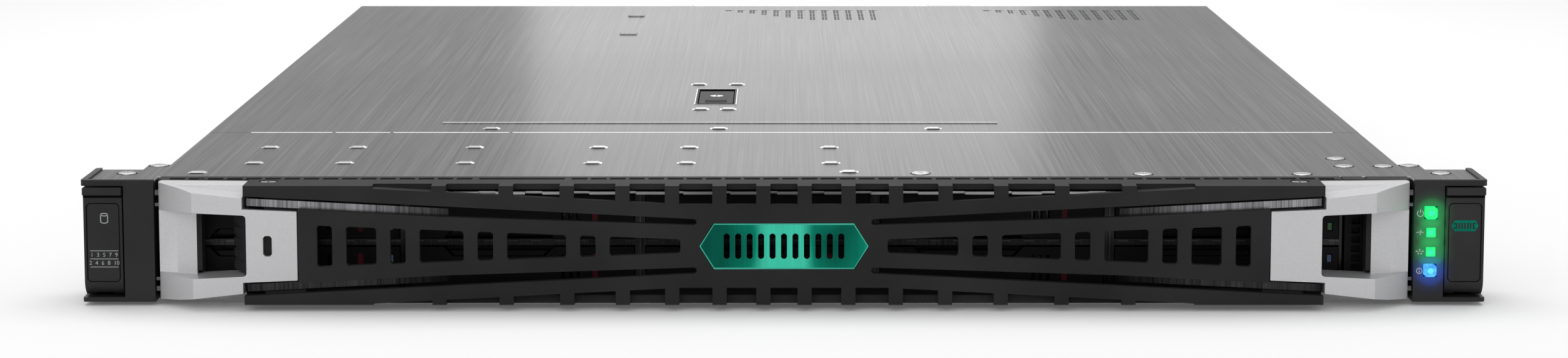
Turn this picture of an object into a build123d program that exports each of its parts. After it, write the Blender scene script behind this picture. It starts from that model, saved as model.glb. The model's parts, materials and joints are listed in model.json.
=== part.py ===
from build123d import *
import os

# One rack unit server with its security bezel fitted. Lengths are millimetres.
# Working axes: X to the right seen from the front, Y to the rear from the front edge of the
# top panel, Z up from the underside. Every node is moved by the same step on writing, so
# that the origin lies under the middle of the whole object.

# Overall
CHASSIS_WIDTH = 434.6
CHASSIS_HEIGHT = 42.9
LID_DEPTH = 656.0
EAR_WIDTH = 24.0
BEZEL_REACH = 25.0
EAR_REACH = 12.6
PSU_HANDLE_REACH = 26.0

# Sheet and clearances
WALL = 1.0
LID_SHEET = 0.8
GAP = 0.3
SEAM = 0.6
FLANGE_DEPTH = 7.0

# Top of the chassis
SEAM_Y = 124.5
BEAD_Y = 154.1
BEAD_X = (-131.6, 82.3)
BEAD_HEIGHT = 0.35
BEAD_WIDTH = 1.6
LANCE_SIZE = (6.4, 4.6, 0.6)
LANCE_TAPER = 0.5
SCREW_RADIUS = 3.2
SCREW_HEIGHT = 0.6
VENT_GROUP_X = (-29.9, 100.9)
VENT_COUNT = 13
VENT_PITCH = 6.05
VENT_WIDTH = 4.5
VENT_REAR_INSET = 23.3
VENT_FULL_LENGTH = 54.0
VENT_FIRST_LENGTH = 6.0
VENT_FULL_FROM = 8
HOOK_TABS_X = ((-57.8, -46.8), (74.5, 95.6))
HOOK_TAB_REACH = 16.5
LATCH_X = (-35.7, -19.5)
LATCH_Y = (216.5, 271.4)
LATCH_DEEP = 6.5

# Ears
EAR_LAP = 0.9
EAR_RISE = 0.6
EAR_BOTTOM = 1.2
EAR_REAR_Y = 19.0
EAR_NECK_Y = 32.0
EAR_NECK_WIDTH = 7.7
LEVER_WIDTH = 13.3
LEVER_INSET = 0.7
LEVER_Z = (3.2, 38.1)
LEVER_THICK = 7.0
LEVER_LIP_Z = (38.4, 40.9)
PIN_RADIUS = 1.2
PIN_PLAY = 0.05
RACK_HOLE_INSET = 8.75
RACK_SCREW_Z = 22.2
RACK_SHOULDER_RADIUS = 3.0
RACK_THREAD_RADIUS = 2.5
RACK_THREAD_REACH = 9.0
BUTTON_SIZE = 4.3
LIGHT_SIZE = 3.3
BUTTON_TRAVEL = 0.8
BUTTON_PLAY = 0.3
POWER_Z = 32.0
LIGHTS_Z = (25.3, 18.6)
UID_Z = 12.0

# Bezel
BEZEL_INSET = 2.6
BEZEL_TOP = 43.1
BEZEL_BOTTOM = 2.2
BEZEL_MID_Z = 22.4
BEZEL_SKIN = 3.0
BEZEL_WALL = 2.0
BEZEL_LEDGE = 2.8
BEZEL_BACK_Y = -8.6
RAIL_BACK_Y = -0.4
RAIL_SLOT_WIDTH = 5.3
RAIL_SLOT_PITCH = 6.6
BADGE_HALF = 29.0
BADGE_Z = (14.5, 30.3)
ARM_WIDTH = 30.3
PLATE_WIDTH = 18.6
SECURITY_SLOT_INSET = 8.5
SECURITY_SLOT = (3.0, 7.0)
STRIP_LENGTH = 68.8
STRIP_HEIGHT = 2.5

# Drives
DRIVE_PITCH = 81.5
DRIVE_SIDE_INSET = 4.6
DRIVE_BODY_WIDTH = 69.85
DRIVE_BODY_HEIGHT = 14.8
DRIVE_BODY_LENGTH = 100.0
CARRIER_HEIGHT = 15.0
CARRIER_FRONT_Y = 1.2
CARRIER_FACE_THICK = 9.0
CARRIER_LENGTH = 122.0
CARRIER_RAIL = 3.2
ROW_PITCH = 18.0
FIRST_ROW_Z = 3.2
CAGE_SHEET = 0.8

# Fans
FAN_COUNT = 7
FAN_SIZE = 40.0
FAN_DEPTH = 28.0
FAN_SIDE_INSET = 42.3
FAN_FRONT_Y = 178.0
FAN_BORE_RADIUS = 18.9
FAN_TIP_PLAY = 0.6
FAN_HUB_RADIUS = 9.0
FAN_BLADES = 5
BULKHEAD_SHEET = 1.0

# Boards and what they carry
BOARD_THICK = 1.6
BOARD_Z = 6.0
BOARD_FRONT_Y = 222.0
BOARD_REAR_INSET = 4.0
BOARD_SIDE_INSET = 10.3
SINK_X = 8.0
SINK_SIZE = (92.0, 108.0)
SINK_TOP = 36.0
SINK_FINS = 17
SINK_FIN = 1.6
DIMM_LENGTH = 133.35
DIMM_HEIGHT = 29.0
DIMM_THICK = 1.4
DIMM_PITCH = 8.4
DIMM_PER_SIDE = 8
DIMM_OFFSET = 60.0
SOCKET_WIDTH = 6.4
SOCKET_HEIGHT = 6.0

# Power supplies
PSU_WIDTH = 73.5
PSU_HEIGHT = 39.0
PSU_LENGTH = 185.0
PSU_SIDE_GAP = 2.7
PSU_PITCH = 75.3
PSU_FLOOR = 0.3
PSU_LATCH_TRAVEL = 2.0

REAR_Y = LID_DEPTH + PSU_HANDLE_REACH
MIDDLE_Y = (REAR_Y - BEZEL_REACH) / 2
CHASSIS_HALF = CHASSIS_WIDTH / 2
INNER_HALF = CHASSIS_HALF - WALL
LID_BOTTOM = CHASSIS_HEIGHT - LID_SHEET
WALL_TOP = LID_BOTTOM - GAP


def block(x, y, z):
    """A box from three (low, high) pairs."""
    size = [high - low for low, high in (x, y, z)]
    return Pos(x[0], y[0], z[0]) * Box(*size, align=(Align.MIN, Align.MIN, Align.MIN))


def slab(points, z):
    """A plan outline (x, y) raised from z[0] to z[1]."""
    face = make_face(Polyline(*points, close=True))
    return Pos(0, 0, z[0]) * extrude(face, z[1] - z[0], dir=(0, 0, 1))


def panel(points, y):
    """A front outline (x, z) carried from y[0] back to y[1]."""
    outline = Polyline(*[(px, y[0], pz) for px, pz in points], close=True)
    return extrude(make_face(outline), y[1] - y[0], dir=(0, 1, 0))


def beyond(first, second, third):
    """All that lies on the side of three points that their turn faces."""
    across = Vector(*second) - Vector(*first)
    facing = across.cross(Vector(*third) - Vector(*first))
    size = 2 * BEZEL_REACH + ARM_WIDTH
    side = Box(size, size, size, align=(Align.CENTER, Align.CENTER, Align.MIN))
    return Plane(origin=first, x_dir=across, z_dir=facing) * side


def rod_x(x, y, z, radius):
    """A round bar along X."""
    return Pos((x[0] + x[1]) / 2, y, z) * Rot(0, 90, 0) * Cylinder(radius, x[1] - x[0])


def rod_y(x, y, z, radius):
    """A round bar along Y."""
    return Pos(x, (y[0] + y[1]) / 2, z) * Rot(90, 0, 0) * Cylinder(radius, y[1] - y[0])


def rod_z(x, y, z, radius):
    """A round bar along Z."""
    return Pos(x, y, (z[0] + z[1]) / 2) * Cylinder(radius, z[1] - z[0])


def other_side(shape):
    """The same shape on the other side of the middle plane."""
    return mirror(shape, about=Plane.YZ)


def both_sides(shape):
    return [shape, other_side(shape)]


def save(node, *shapes):
    """Write the solids of one node, moved so that the origin is under the middle."""
    step = Pos(0, -MIDDLE_Y, 0)
    solids = [step * solid for shape in shapes for solid in shape.solids()]
    whole = solids[0] if len(solids) == 1 else Compound(children=solids)
    export_step(whole, os.path.join("parts", node + ".step"))


# Chassis
LANCES_X = (-188.3, -156.1, -113.4, -68.0, -34.7, 16.7)
LANCE_ROWS_Y = (36.0, 79.8)
LONE_LANCES = ((22.7, 12.6), (-204.6, 10.5))
PANEL_LANCES = ((-111.5, 136.7), (-24.8, 136.7), (56.8, 136.7), (-35.7, 289.5), (-19.8, 289.5),
                (-33.1, 200.0), (-22.2, 200.0))
BRACKET_SCREWS = ((3.7, 29.3), (11.5, 8.5))
PANEL_SCREWS = ((47.5, 8.5), (124.9, 6.4), (180.2, 6.4), (197.7, 48.0), (197.7, 27.2), (211.5, 27.2))
HEAD_SIDES = 12
BRIDGES = ((-73.7, 600.3), (-74.0, 507.5))
BRIDGE_SIZE = (8.4, 9.0, 0.6)
STUD_INSETS_Y = (60.0, 330.0, 600.0)
STUD_Z = 21.0
STUD_RADIUS = 2.4
STUD_HEAD_RADIUS = 3.6
STUD_REACH = 3.6
STUD_HEAD_THICK = 1.3
TRAY_FRONT_Y = 0.8
TRAY_REAR_Y = LID_DEPTH - WALL
STANDOFF_RADIUS = 3.5
PSU_BAY_PLAY = 0.6
PORT_AREA_INSET = 8.8
SLOT_WINDOW_INSETS = (17.8, 15.3)
SLOT_WINDOW_BAR = 12.0
SLOT_WINDOW_Z = (22.6, 40.4)
PORT_WINDOW_WIDTH = 160.0
MODULE_WINDOW_WIDTH = 84.0
MODULE_WINDOW_INSET = 17.3
PORT_WINDOW_Z = (4.4, 21.2)
AIR_SLOTS = 5
AIR_SLOT_HEIGHT = 1.8
AIR_SLOT_PITCH = 3.4


def psu_x(index):
    left = PSU_SIDE_GAP - INNER_HALF + index * PSU_PITCH
    return left, left + PSU_WIDTH


PSU_AREA_END_X = psu_x(1)[1]
PORT_WINDOW_X = (PSU_AREA_END_X + PORT_AREA_INSET, PSU_AREA_END_X + PORT_AREA_INSET + PORT_WINDOW_WIDTH)
MODULE_WINDOW_RIGHT = INNER_HALF - MODULE_WINDOW_INSET
MODULE_WINDOW_X = (MODULE_WINDOW_RIGHT - MODULE_WINDOW_WIDTH, MODULE_WINDOW_RIGHT)
SLOT_AREA_X = (PSU_AREA_END_X + SLOT_WINDOW_INSETS[0], INNER_HALF - SLOT_WINDOW_INSETS[1])
RISER_X = sum(SLOT_AREA_X) / 2
SLOT_WINDOWS_X = ((SLOT_AREA_X[0], RISER_X - SLOT_WINDOW_BAR / 2),
                  (RISER_X + SLOT_WINDOW_BAR / 2, SLOT_AREA_X[1]))
BOARD_X = (BOARD_SIDE_INSET - INNER_HALF, INNER_HALF - BOARD_SIDE_INSET)
BOARD_Y = (BOARD_FRONT_Y, LID_DEPTH - BOARD_REAR_INSET)
EDGE_STANDOFFS = ((BOARD_X[0] + 10, BOARD_FRONT_Y + 70), (BOARD_X[0] + 10, BOARD_FRONT_Y + 150),
                  (BOARD_X[0] + 10, BOARD_FRONT_Y + 233), (BOARD_X[1] - 10, BOARD_FRONT_Y + 70),
                  (BOARD_X[1] - 10, BOARD_FRONT_Y + 150), (BOARD_X[1] - 10, BOARD_Y[1] - 117))
MIDDLE_STANDOFFS = ((SINK_X - 58, BOARD_FRONT_Y + 70), (SINK_X - 58, BOARD_FRONT_Y + 233),
                    (PSU_AREA_END_X + 15, BOARD_Y[1] - 22), (SINK_X + 58, BOARD_FRONT_Y + 70),
                    (SINK_X + 58, BOARD_FRONT_Y + 233), (MODULE_WINDOW_X[0] - 15, BOARD_Y[1] - 22))


def chassis_tray():
    """Floor and two side walls, folded from one sheet, with the board's hexagonal standoffs."""
    along = (TRAY_FRONT_Y, TRAY_REAR_Y)
    tray = block((-CHASSIS_HALF, CHASSIS_HALF), along, (0, WALL))
    for wall in both_sides(block((INNER_HALF, CHASSIS_HALF), along, (0, WALL_TOP))):
        tray += wall
    bends = tray.edges().filter_by(Axis.Y).filter_by_position(Axis.Z, -0.01, 0.01)
    tray = fillet(bends, WALL * 0.8)
    post = extrude(RegularPolygon(STANDOFF_RADIUS, 6), BOARD_Z - WALL)
    for x, y in EDGE_STANDOFFS + MIDDLE_STANDOFFS:
        tray += Pos(x, y, WALL) * post
    return tray


def hook_tab(x):
    """Bent tab behind the lid, standing on the rear panel's upper edge."""
    neck_y = (LID_DEPTH + SEAM, LID_DEPTH + SEAM + LID_SHEET)
    foot = block(x, (TRAY_REAR_Y, neck_y[1]), (WALL_TOP - LID_SHEET, WALL_TOP))
    neck = block(x, neck_y, (WALL_TOP - LID_SHEET, LID_BOTTOM))
    return foot + neck + block(x, (neck_y[0], LID_DEPTH + HOOK_TAB_REACH), (LID_BOTTOM, CHASSIS_HEIGHT))


def rear_panel():
    """Rear sheet with bays for the power supplies and windows for slots and ports."""
    sheet_y = (TRAY_REAR_Y, LID_DEPTH)
    cut_y = (TRAY_REAR_Y - 1, LID_DEPTH + 1)
    sheet = block((-CHASSIS_HALF, CHASSIS_HALF), sheet_y, (0, WALL_TOP))
    for index in range(2):
        left, right = psu_x(index)
        bay_z = (WALL, WALL + PSU_FLOOR + PSU_HEIGHT + PSU_BAY_PLAY)
        sheet -= block((left - PSU_BAY_PLAY, right + PSU_BAY_PLAY), cut_y, bay_z)
    for window in SLOT_WINDOWS_X:
        sheet -= block(window, cut_y, SLOT_WINDOW_Z)
    for window in (PORT_WINDOW_X, MODULE_WINDOW_X):
        sheet -= block(window, cut_y, PORT_WINDOW_Z)
    air_x = (SLOT_WINDOWS_X[0][1] + 2.5, SLOT_WINDOWS_X[1][0] - 2.0)
    for step in range(AIR_SLOTS):
        low = SLOT_WINDOW_Z[0] + 1 + step * AIR_SLOT_PITCH
        sheet -= block(air_x, cut_y, (low, low + AIR_SLOT_HEIGHT))
    for tab in HOOK_TABS_X:
        sheet += hook_tab(tab)
    return sheet


def front_top_panel():
    """Fixed sheet over the drives, with side flanges inside the tray's walls."""
    along = (0, SEAM_Y - SEAM / 2)
    sheet = block((-CHASSIS_HALF, CHASSIS_HALF), along, (LID_BOTTOM, CHASSIS_HEIGHT))
    flange_y = (4.0, SEAM_Y - 4.0)
    flange_z = (LID_BOTTOM - FLANGE_DEPTH, LID_BOTTOM)
    for flange in both_sides(block((INNER_HALF - LID_SHEET, INNER_HALF), flange_y, flange_z)):
        sheet += flange
    rest_z = (WALL_TOP, LID_BOTTOM)
    for rest in both_sides(block((INNER_HALF, CHASSIS_HALF), flange_y, rest_z)):
        sheet += rest
    return sheet


def vent_slots():
    """One group of vent patches: short ones first, then full length."""
    slots = []
    rear = LID_DEPTH - VENT_REAR_INSET
    for index in range(VENT_COUNT):
        share = min(index / (VENT_FULL_FROM - 1), 1)
        length = VENT_FIRST_LENGTH + (VENT_FULL_LENGTH - VENT_FIRST_LENGTH) * share
        left = index * VENT_PITCH
        slots.append(block((left, left + VENT_WIDTH), (rear - length, rear),
                           (LID_BOTTOM - 1, CHASSIS_HEIGHT + 1)))
    return slots


def bridge(x, y):
    """Lanced strap, open towards the front and the rear."""
    width, depth, rise = BRIDGE_SIZE
    strap = block((x - width / 2, x + width / 2), (y - depth / 2, y + depth / 2),
                  (CHASSIS_HEIGHT, CHASSIS_HEIGHT + rise))
    tops = strap.edges().filter_by(Axis.Y).sort_by(Axis.Z)[-2:]
    return chamfer(tops, rise * 0.8)


def access_panel():
    """Removable sheet with a stiffening bead, the latch opening and the vent patches."""
    along = (SEAM_Y + SEAM / 2, LID_DEPTH)
    sheet = block((-CHASSIS_HALF, CHASSIS_HALF), along, (LID_BOTTOM, CHASSIS_HEIGHT))
    flange_out = INNER_HALF - 0.5
    flange_y = (SEAM_Y + 3.0, LID_DEPTH - 4.0)
    flange_z = (LID_BOTTOM - FLANGE_DEPTH, LID_BOTTOM)
    for flange in both_sides(block((flange_out - LID_SHEET, flange_out), flange_y, flange_z)):
        sheet += flange
    bead_z = (CHASSIS_HEIGHT, CHASSIS_HEIGHT + BEAD_HEIGHT)
    sheet += block(BEAD_X, (BEAD_Y - BEAD_WIDTH / 2, BEAD_Y + BEAD_WIDTH / 2), bead_z)
    for x, y in BRIDGES:
        sheet += bridge(x, y)
    sheet -= block(LATCH_X, LATCH_Y, (LID_BOTTOM - 1, CHASSIS_HEIGHT + 1))
    for group_x in VENT_GROUP_X:
        sheet -= [Pos(group_x, 0, 0) * slot for slot in vent_slots()]
    return sheet


def lances(places):
    """Half-sheared clinch heads: small raised tables with sloping sides."""
    width, depth, height = LANCE_SIZE
    head = block((-width / 2, width / 2), (-depth / 2, depth / 2),
                 (CHASSIS_HEIGHT, CHASSIS_HEIGHT + height))
    tops = head.faces().sort_by(Axis.Z)[-1].edges()
    head = chamfer(tops, LANCE_TAPER)
    return [Pos(x, y, 0) * head for x, y in places]


def pan_heads(places):
    """Low screw heads standing on the top sheet."""
    head = extrude(RegularPolygon(SCREW_RADIUS, HEAD_SIDES), SCREW_HEIGHT, taper=30)
    return [Pos(x, y, CHASSIS_HEIGHT) * head for x, y in places]


def rail_studs():
    """Headed studs on the side walls, which the slide rails hook on."""
    neck_reach = STUD_REACH - STUD_HEAD_THICK
    side = Plane.YZ
    neck = extrude(side * RegularPolygon(STUD_RADIUS, HEAD_SIDES), neck_reach)
    head = extrude(side * RegularPolygon(STUD_HEAD_RADIUS, HEAD_SIDES), STUD_HEAD_THICK)
    stud = neck + Pos(neck_reach, 0, 0) * head
    studs = []
    for y in STUD_INSETS_Y:
        studs += both_sides(Pos(CHASSIS_HALF, y, STUD_Z) * stud)
    return studs


# Latch of the access panel
LATCH_WALL = 0.8
LATCH_PLAY = 0.4
LATCH_PIN_RADIUS = 1.0
LATCH_PIN_Y = LATCH_Y[1] - 4.6
LATCH_PIN_Z = CHASSIS_HEIGHT - 3.2
LATCH_LEVER_THICK = 3.0
LATCH_BARREL = 2.2
LATCH_SCREW_Y = LATCH_Y[0] + 33.0
LATCH_SCREW_RADIUS = 2.7
LATCH_TIP_Y = LATCH_Y[0] + 7.0
LATCH_GROOVES = 3
LATCH_GROOVE_PITCH = 3.4


def cover_latch_housing():
    """Open-topped cup set into the access panel, with the lever's pin across it."""
    inner_x = (LATCH_X[0] + LATCH_WALL, LATCH_X[1] - LATCH_WALL)
    inner_y = (LATCH_Y[0] + LATCH_WALL, LATCH_Y[1] - LATCH_WALL)
    floor_z = CHASSIS_HEIGHT - LATCH_DEEP
    cup = block(LATCH_X, LATCH_Y, (floor_z, CHASSIS_HEIGHT))
    cup -= block(inner_x, inner_y, (floor_z + LATCH_WALL, CHASSIS_HEIGHT + 1))
    return cup + rod_x(inner_x, LATCH_PIN_Y, LATCH_PIN_Z, LATCH_PIN_RADIUS)


def cover_latch_lever():
    """Flat lever with a finger hollow at its front end and a barrel on the pin."""
    side = LATCH_WALL + LATCH_PLAY
    x = (LATCH_X[0] + side, LATCH_X[1] - side)
    top = CHASSIS_HEIGHT - GAP
    plate = block(x, (LATCH_TIP_Y, LATCH_PIN_Y), (top - LATCH_LEVER_THICK, top))
    barrel = rod_x(x, LATCH_PIN_Y, LATCH_PIN_Z, LATCH_BARREL)
    lever = plate + barrel
    groove_z = (top - 1.0, top + 1)
    for step in range(LATCH_GROOVES):
        front = LATCH_TIP_Y + 3 + step * LATCH_GROOVE_PITCH
        lever -= block((x[0] + 2.5, x[1] - 2.5), (front, front + 1.6), groove_z)
    seat = rod_z((x[0] + x[1]) / 2, LATCH_SCREW_Y, (top - 1.2, top + 1), LATCH_SCREW_RADIUS)
    return lever - seat - rod_x(x, LATCH_PIN_Y, LATCH_PIN_Z, LATCH_PIN_RADIUS + PIN_PLAY)


def cover_latch_screw():
    top = CHASSIS_HEIGHT - GAP
    middle = sum(LATCH_X) / 2
    head = rod_z(middle, LATCH_SCREW_Y, (top - 1.2, top + 0.1), LATCH_SCREW_RADIUS)
    slot_x = (middle - 0.4, middle + 0.4)
    return head - block(slot_x, (LATCH_SCREW_Y - 2, LATCH_SCREW_Y + 2), (top - 0.5, top + 1))


def write_chassis():
    brackets = [(side * (CHASSIS_HALF + x), y) for x, y in BRACKET_SCREWS for side in (1, -1)]
    grid = [(x, y) for y in LANCE_ROWS_Y for x in LANCES_X]
    save("chassis_tray", chassis_tray())
    save("rear_panel", rear_panel())
    save("front_top_panel", front_top_panel())
    save("access_panel", access_panel())
    save("front_rivets", *lances(grid + list(LONE_LANCES)))
    save("access_panel_rivets", *lances(PANEL_LANCES))
    save("top_screws", *pan_heads(list(PANEL_SCREWS) + brackets))
    save("rail_studs", *rail_studs())
    save("cover_latch_housing", cover_latch_housing())
    save("cover_latch_lever", cover_latch_lever())
    save("cover_latch_screw", cover_latch_screw())


# Rack ears. They are drawn for the right side; the left one is the mirror image.
BRACKET_SHEET = 1.0
EAR_OUTER_X = CHASSIS_HALF + EAR_WIDTH
EAR_INNER_X = CHASSIS_HALF - EAR_LAP
EAR_NECK_X = CHASSIS_HALF + EAR_NECK_WIDTH
EAR_TOP = CHASSIS_HEIGHT + EAR_RISE
EAR_RIM = 2.1
EAR_PLATE_Z = (CHASSIS_HEIGHT - 0.8, CHASSIS_HEIGHT)
LEVER_X = (EAR_OUTER_X - LEVER_INSET - LEVER_WIDTH, EAR_OUTER_X - LEVER_INSET)
LEVER_PLAY = 0.5
LEVER_FRONT_Y = -EAR_REACH
LEVER_SKIN = 2.4
LEVER_RIB = 1.6
LEVER_ROUND = 5.6
LEVER_PIVOT_Y = LEVER_FRONT_Y + LEVER_ROUND
LEVER_PIVOT_Z = LEVER_Z[0] + LEVER_ROUND
LEVER_CHEEK = 3.6
LEVER_LIP_REACH = 1.9
LUG_RADIUS = 2.6
LUG_PLAY = 0.4
RACK_X = EAR_OUTER_X - RACK_HOLE_INSET
RACK_HEAD_RADIUS = 3.4
RACK_HEAD_THICK = 4.0
RACK_SEAT_Y = -0.6
BUTTON_X = (CHASSIS_HALF + LEVER_X[0]) / 2
BUTTON_FRONT_Y = LEVER_FRONT_Y - 0.5
BUTTON_DEEP = 4.9
BUTTON_CORNER = 0.8
LABEL_MARGIN = 0.9
LABEL_CORNER = 1.0
LABEL_Z = (8.0, 35.5)
LABEL_SUNK = 0.25
LENS_RISE = 0.25
LENS_DEEP = 2.0


def ear_bracket():
    """Steel angle: a side plate on the chassis wall and a top plate over the ear."""
    side_x = (CHASSIS_HALF, CHASSIS_HALF + BRACKET_SHEET)
    side = block(side_x, (TRAY_FRONT_Y, EAR_NECK_Y), (3.0, EAR_PLATE_Z[0]))
    outer = EAR_OUTER_X - EAR_RIM
    front = LEVER_FRONT_Y + EAR_RIM
    top = slab([(EAR_INNER_X, front), (outer, front), (outer, EAR_REAR_Y), (EAR_NECK_X, EAR_REAR_Y),
                (EAR_NECK_X, EAR_NECK_Y), (CHASSIS_HALF, EAR_NECK_Y), (CHASSIS_HALF, -SEAM),
                (EAR_INNER_X, -SEAM)], EAR_PLATE_Z)
    return side + top


def rack_screw():
    """Captive screw behind the lever; its thread passes out of the back of the ear."""
    head_y = (RACK_SEAT_Y - RACK_HEAD_THICK, RACK_SEAT_Y)
    head = rod_y(RACK_X, head_y, RACK_SCREW_Z, RACK_HEAD_RADIUS)
    shank = rod_y(RACK_X, (RACK_SEAT_Y, EAR_REAR_Y), RACK_SCREW_Z, RACK_SHOULDER_RADIUS)
    thread_y = (EAR_REAR_Y, EAR_REAR_Y + RACK_THREAD_REACH)
    shank += rod_y(RACK_X, thread_y, RACK_SCREW_Z, RACK_THREAD_RADIUS)
    socket_y = (head_y[0] - 1, RACK_SEAT_Y - 1.5)
    hexagon = Plane.XZ * RegularPolygon(RACK_HEAD_RADIUS * 0.56, 6)
    socket = extrude(hexagon, socket_y[1] - socket_y[0], dir=(0, 1, 0))
    return head + shank - Pos(RACK_X, socket_y[0], RACK_SCREW_Z) * socket


def square_hole(size, y, z):
    half = size / 2
    return block((BUTTON_X - half, BUTTON_X + half), y, (z - half, z + half))


def lever_bay():
    """The room in the ear that the lever turns in."""
    bay_x = (LEVER_X[0] - LEVER_PLAY, EAR_OUTER_X + 1)
    bay_y = (LEVER_FRONT_Y - 1, LEVER_FRONT_Y + LEVER_THICK + LEVER_PLAY)
    bay = block(bay_x, bay_y, (LEVER_PIVOT_Z, LEVER_LIP_Z[1] + LEVER_PLAY))
    bay += rod_x(bay_x, LEVER_PIVOT_Y, LEVER_PIVOT_Z, LEVER_ROUND + LEVER_PLAY)
    under_z = (LEVER_Z[0] - LEVER_PLAY, LEVER_PIVOT_Z)
    bay += block(bay_x, (bay_y[0], LEVER_PIVOT_Y), under_z)
    head_y = (bay_y[1] - 2, RACK_SEAT_Y)
    return bay + rod_y(RACK_X, head_y, RACK_SCREW_Z, RACK_HEAD_RADIUS + LEVER_PLAY)


def lever_lug():
    """Round-fronted lug between the lever's cheeks, which carries the pin."""
    lug_x = (LEVER_X[0] + LEVER_CHEEK + LUG_PLAY, LEVER_X[1] - LEVER_CHEEK - LUG_PLAY)
    lug_back = LEVER_PIVOT_Y + LEVER_ROUND + 1
    lug_z = (LEVER_PIVOT_Z - LUG_RADIUS, LEVER_PIVOT_Z + LUG_RADIUS)
    lug = block(lug_x, (LEVER_PIVOT_Y, lug_back), lug_z)
    return lug + rod_x(lug_x, LEVER_PIVOT_Y, LEVER_PIVOT_Z, LUG_RADIUS)


def ear_housing(with_controls):
    """Moulded ear: solid inner part, lever bay with its lug, and the rack screw's seat."""
    ear = block((EAR_INNER_X, EAR_OUTER_X), (LEVER_FRONT_Y, 0), (EAR_BOTTOM, EAR_TOP))
    rear_x = (CHASSIS_HALF + BRACKET_SHEET, EAR_OUTER_X)
    ear += block(rear_x, (0, EAR_REAR_Y), (EAR_BOTTOM, EAR_TOP))
    corners = ear.edges().filter_by(Axis.Z).sort_by(Axis.X)[-2:]
    ear = chamfer(corners, 0.8)
    top_x = (EAR_INNER_X - 1, EAR_OUTER_X - EAR_RIM)
    top_y = (LEVER_FRONT_Y + EAR_RIM, EAR_REAR_Y + 1)
    ear -= block(top_x, top_y, (EAR_PLATE_Z[0], EAR_TOP + 1))
    ear = ear - lever_bay() + lever_lug() - lever_pin()
    ear -= rod_y(RACK_X, (RACK_SEAT_Y, EAR_REAR_Y + 1), RACK_SCREW_Z, RACK_SHOULDER_RADIUS)
    if with_controls:
        hole_y = (LEVER_FRONT_Y - 1, BUTTON_FRONT_Y + BUTTON_DEEP + BUTTON_TRAVEL + BUTTON_PLAY)
        for z in (POWER_Z, UID_Z):
            ear -= square_hole(BUTTON_SIZE + 2 * BUTTON_PLAY, hole_y, z)
        for z in LIGHTS_Z:
            ear -= square_hole(LIGHT_SIZE, (LEVER_FRONT_Y - 1, LEVER_FRONT_Y + LENS_DEEP), z)
    return ear


def lever_pin():
    pin_x = (LEVER_X[0] - 3.3, LEVER_X[1] - 0.4)
    return rod_x(pin_x, LEVER_PIVOT_Y, LEVER_PIVOT_Z, PIN_RADIUS)


def label_outline():
    """Eight-sided field of the lever's recessed label."""
    left, right = LEVER_X[0] + LABEL_MARGIN, LEVER_X[1] - LABEL_MARGIN
    low, high = LABEL_Z
    cut = LABEL_CORNER
    return [(left + cut, low), (right - cut, low), (right, low + cut), (right, high - cut),
            (right - cut, high), (left + cut, high), (left, high - cut), (left, low + cut)]


def release_lever():
    """Quick-release lever: ribbed plate with a finger lip, on two round cheeks."""
    plate_y = (LEVER_FRONT_Y, LEVER_FRONT_Y + LEVER_SKIN)
    lever = block(LEVER_X, plate_y, (LEVER_PIVOT_Z, LEVER_LIP_Z[1]))
    lip_y = (LEVER_FRONT_Y - LEVER_LIP_REACH, plate_y[1])
    lever += block(LEVER_X, lip_y, LEVER_LIP_Z)
    foot = rod_x(LEVER_X, LEVER_PIVOT_Y, LEVER_PIVOT_Z, LEVER_ROUND)
    lever += foot & block(LEVER_X, plate_y, (LEVER_Z[0], LEVER_PIVOT_Z))
    left_rib = (LEVER_X[0], LEVER_X[0] + LEVER_RIB)
    right_rib = (LEVER_X[1] - LEVER_RIB, LEVER_X[1])
    rib_y = (LEVER_FRONT_Y, LEVER_FRONT_Y + LEVER_THICK)
    for rib in (left_rib, right_rib):
        lever += block(rib, rib_y, (LEVER_PIVOT_Z, LEVER_Z[1] - 2))
    for cheek in ((LEVER_X[0], LEVER_X[0] + LEVER_CHEEK), (LEVER_X[1] - LEVER_CHEEK, LEVER_X[1])):
        lever += rod_x(cheek, LEVER_PIVOT_Y, LEVER_PIVOT_Z, LEVER_ROUND)
    across = (LEVER_X[0] - 1, LEVER_X[1] + 1)
    lever -= rod_x(across, LEVER_PIVOT_Y, LEVER_PIVOT_Z, PIN_RADIUS + PIN_PLAY)
    return lever - panel(label_outline(), (LEVER_FRONT_Y - 1, LEVER_FRONT_Y + LABEL_SUNK))


def push_button(z):
    """Square key with softened corners and front edges."""
    key = square_hole(BUTTON_SIZE, (BUTTON_FRONT_Y, BUTTON_FRONT_Y + BUTTON_DEEP), z)
    key = chamfer(key.edges().filter_by(Axis.Y), BUTTON_CORNER)
    return chamfer(key.faces().sort_by(Axis.Y)[0].edges(), 0.25)


def write_ears():
    save("ear_bracket_right", ear_bracket())
    save("ear_bracket_left", other_side(ear_bracket()))
    save("ear_housing_right", ear_housing(True))
    save("ear_housing_left", other_side(ear_housing(False)))
    save("release_lever_right", release_lever())
    save("release_lever_left", other_side(release_lever()))
    save("lever_pins", *both_sides(lever_pin()))
    save("rack_screws", *both_sides(rack_screw()))
    save("power_button", push_button(POWER_Z))
    save("uid_button", push_button(UID_Z))
    lens_y = (LEVER_FRONT_Y - LENS_RISE, LEVER_FRONT_Y + LENS_DEEP)
    save("status_lights", *[square_hole(LIGHT_SIZE, lens_y, z) for z in LIGHTS_Z])


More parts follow.
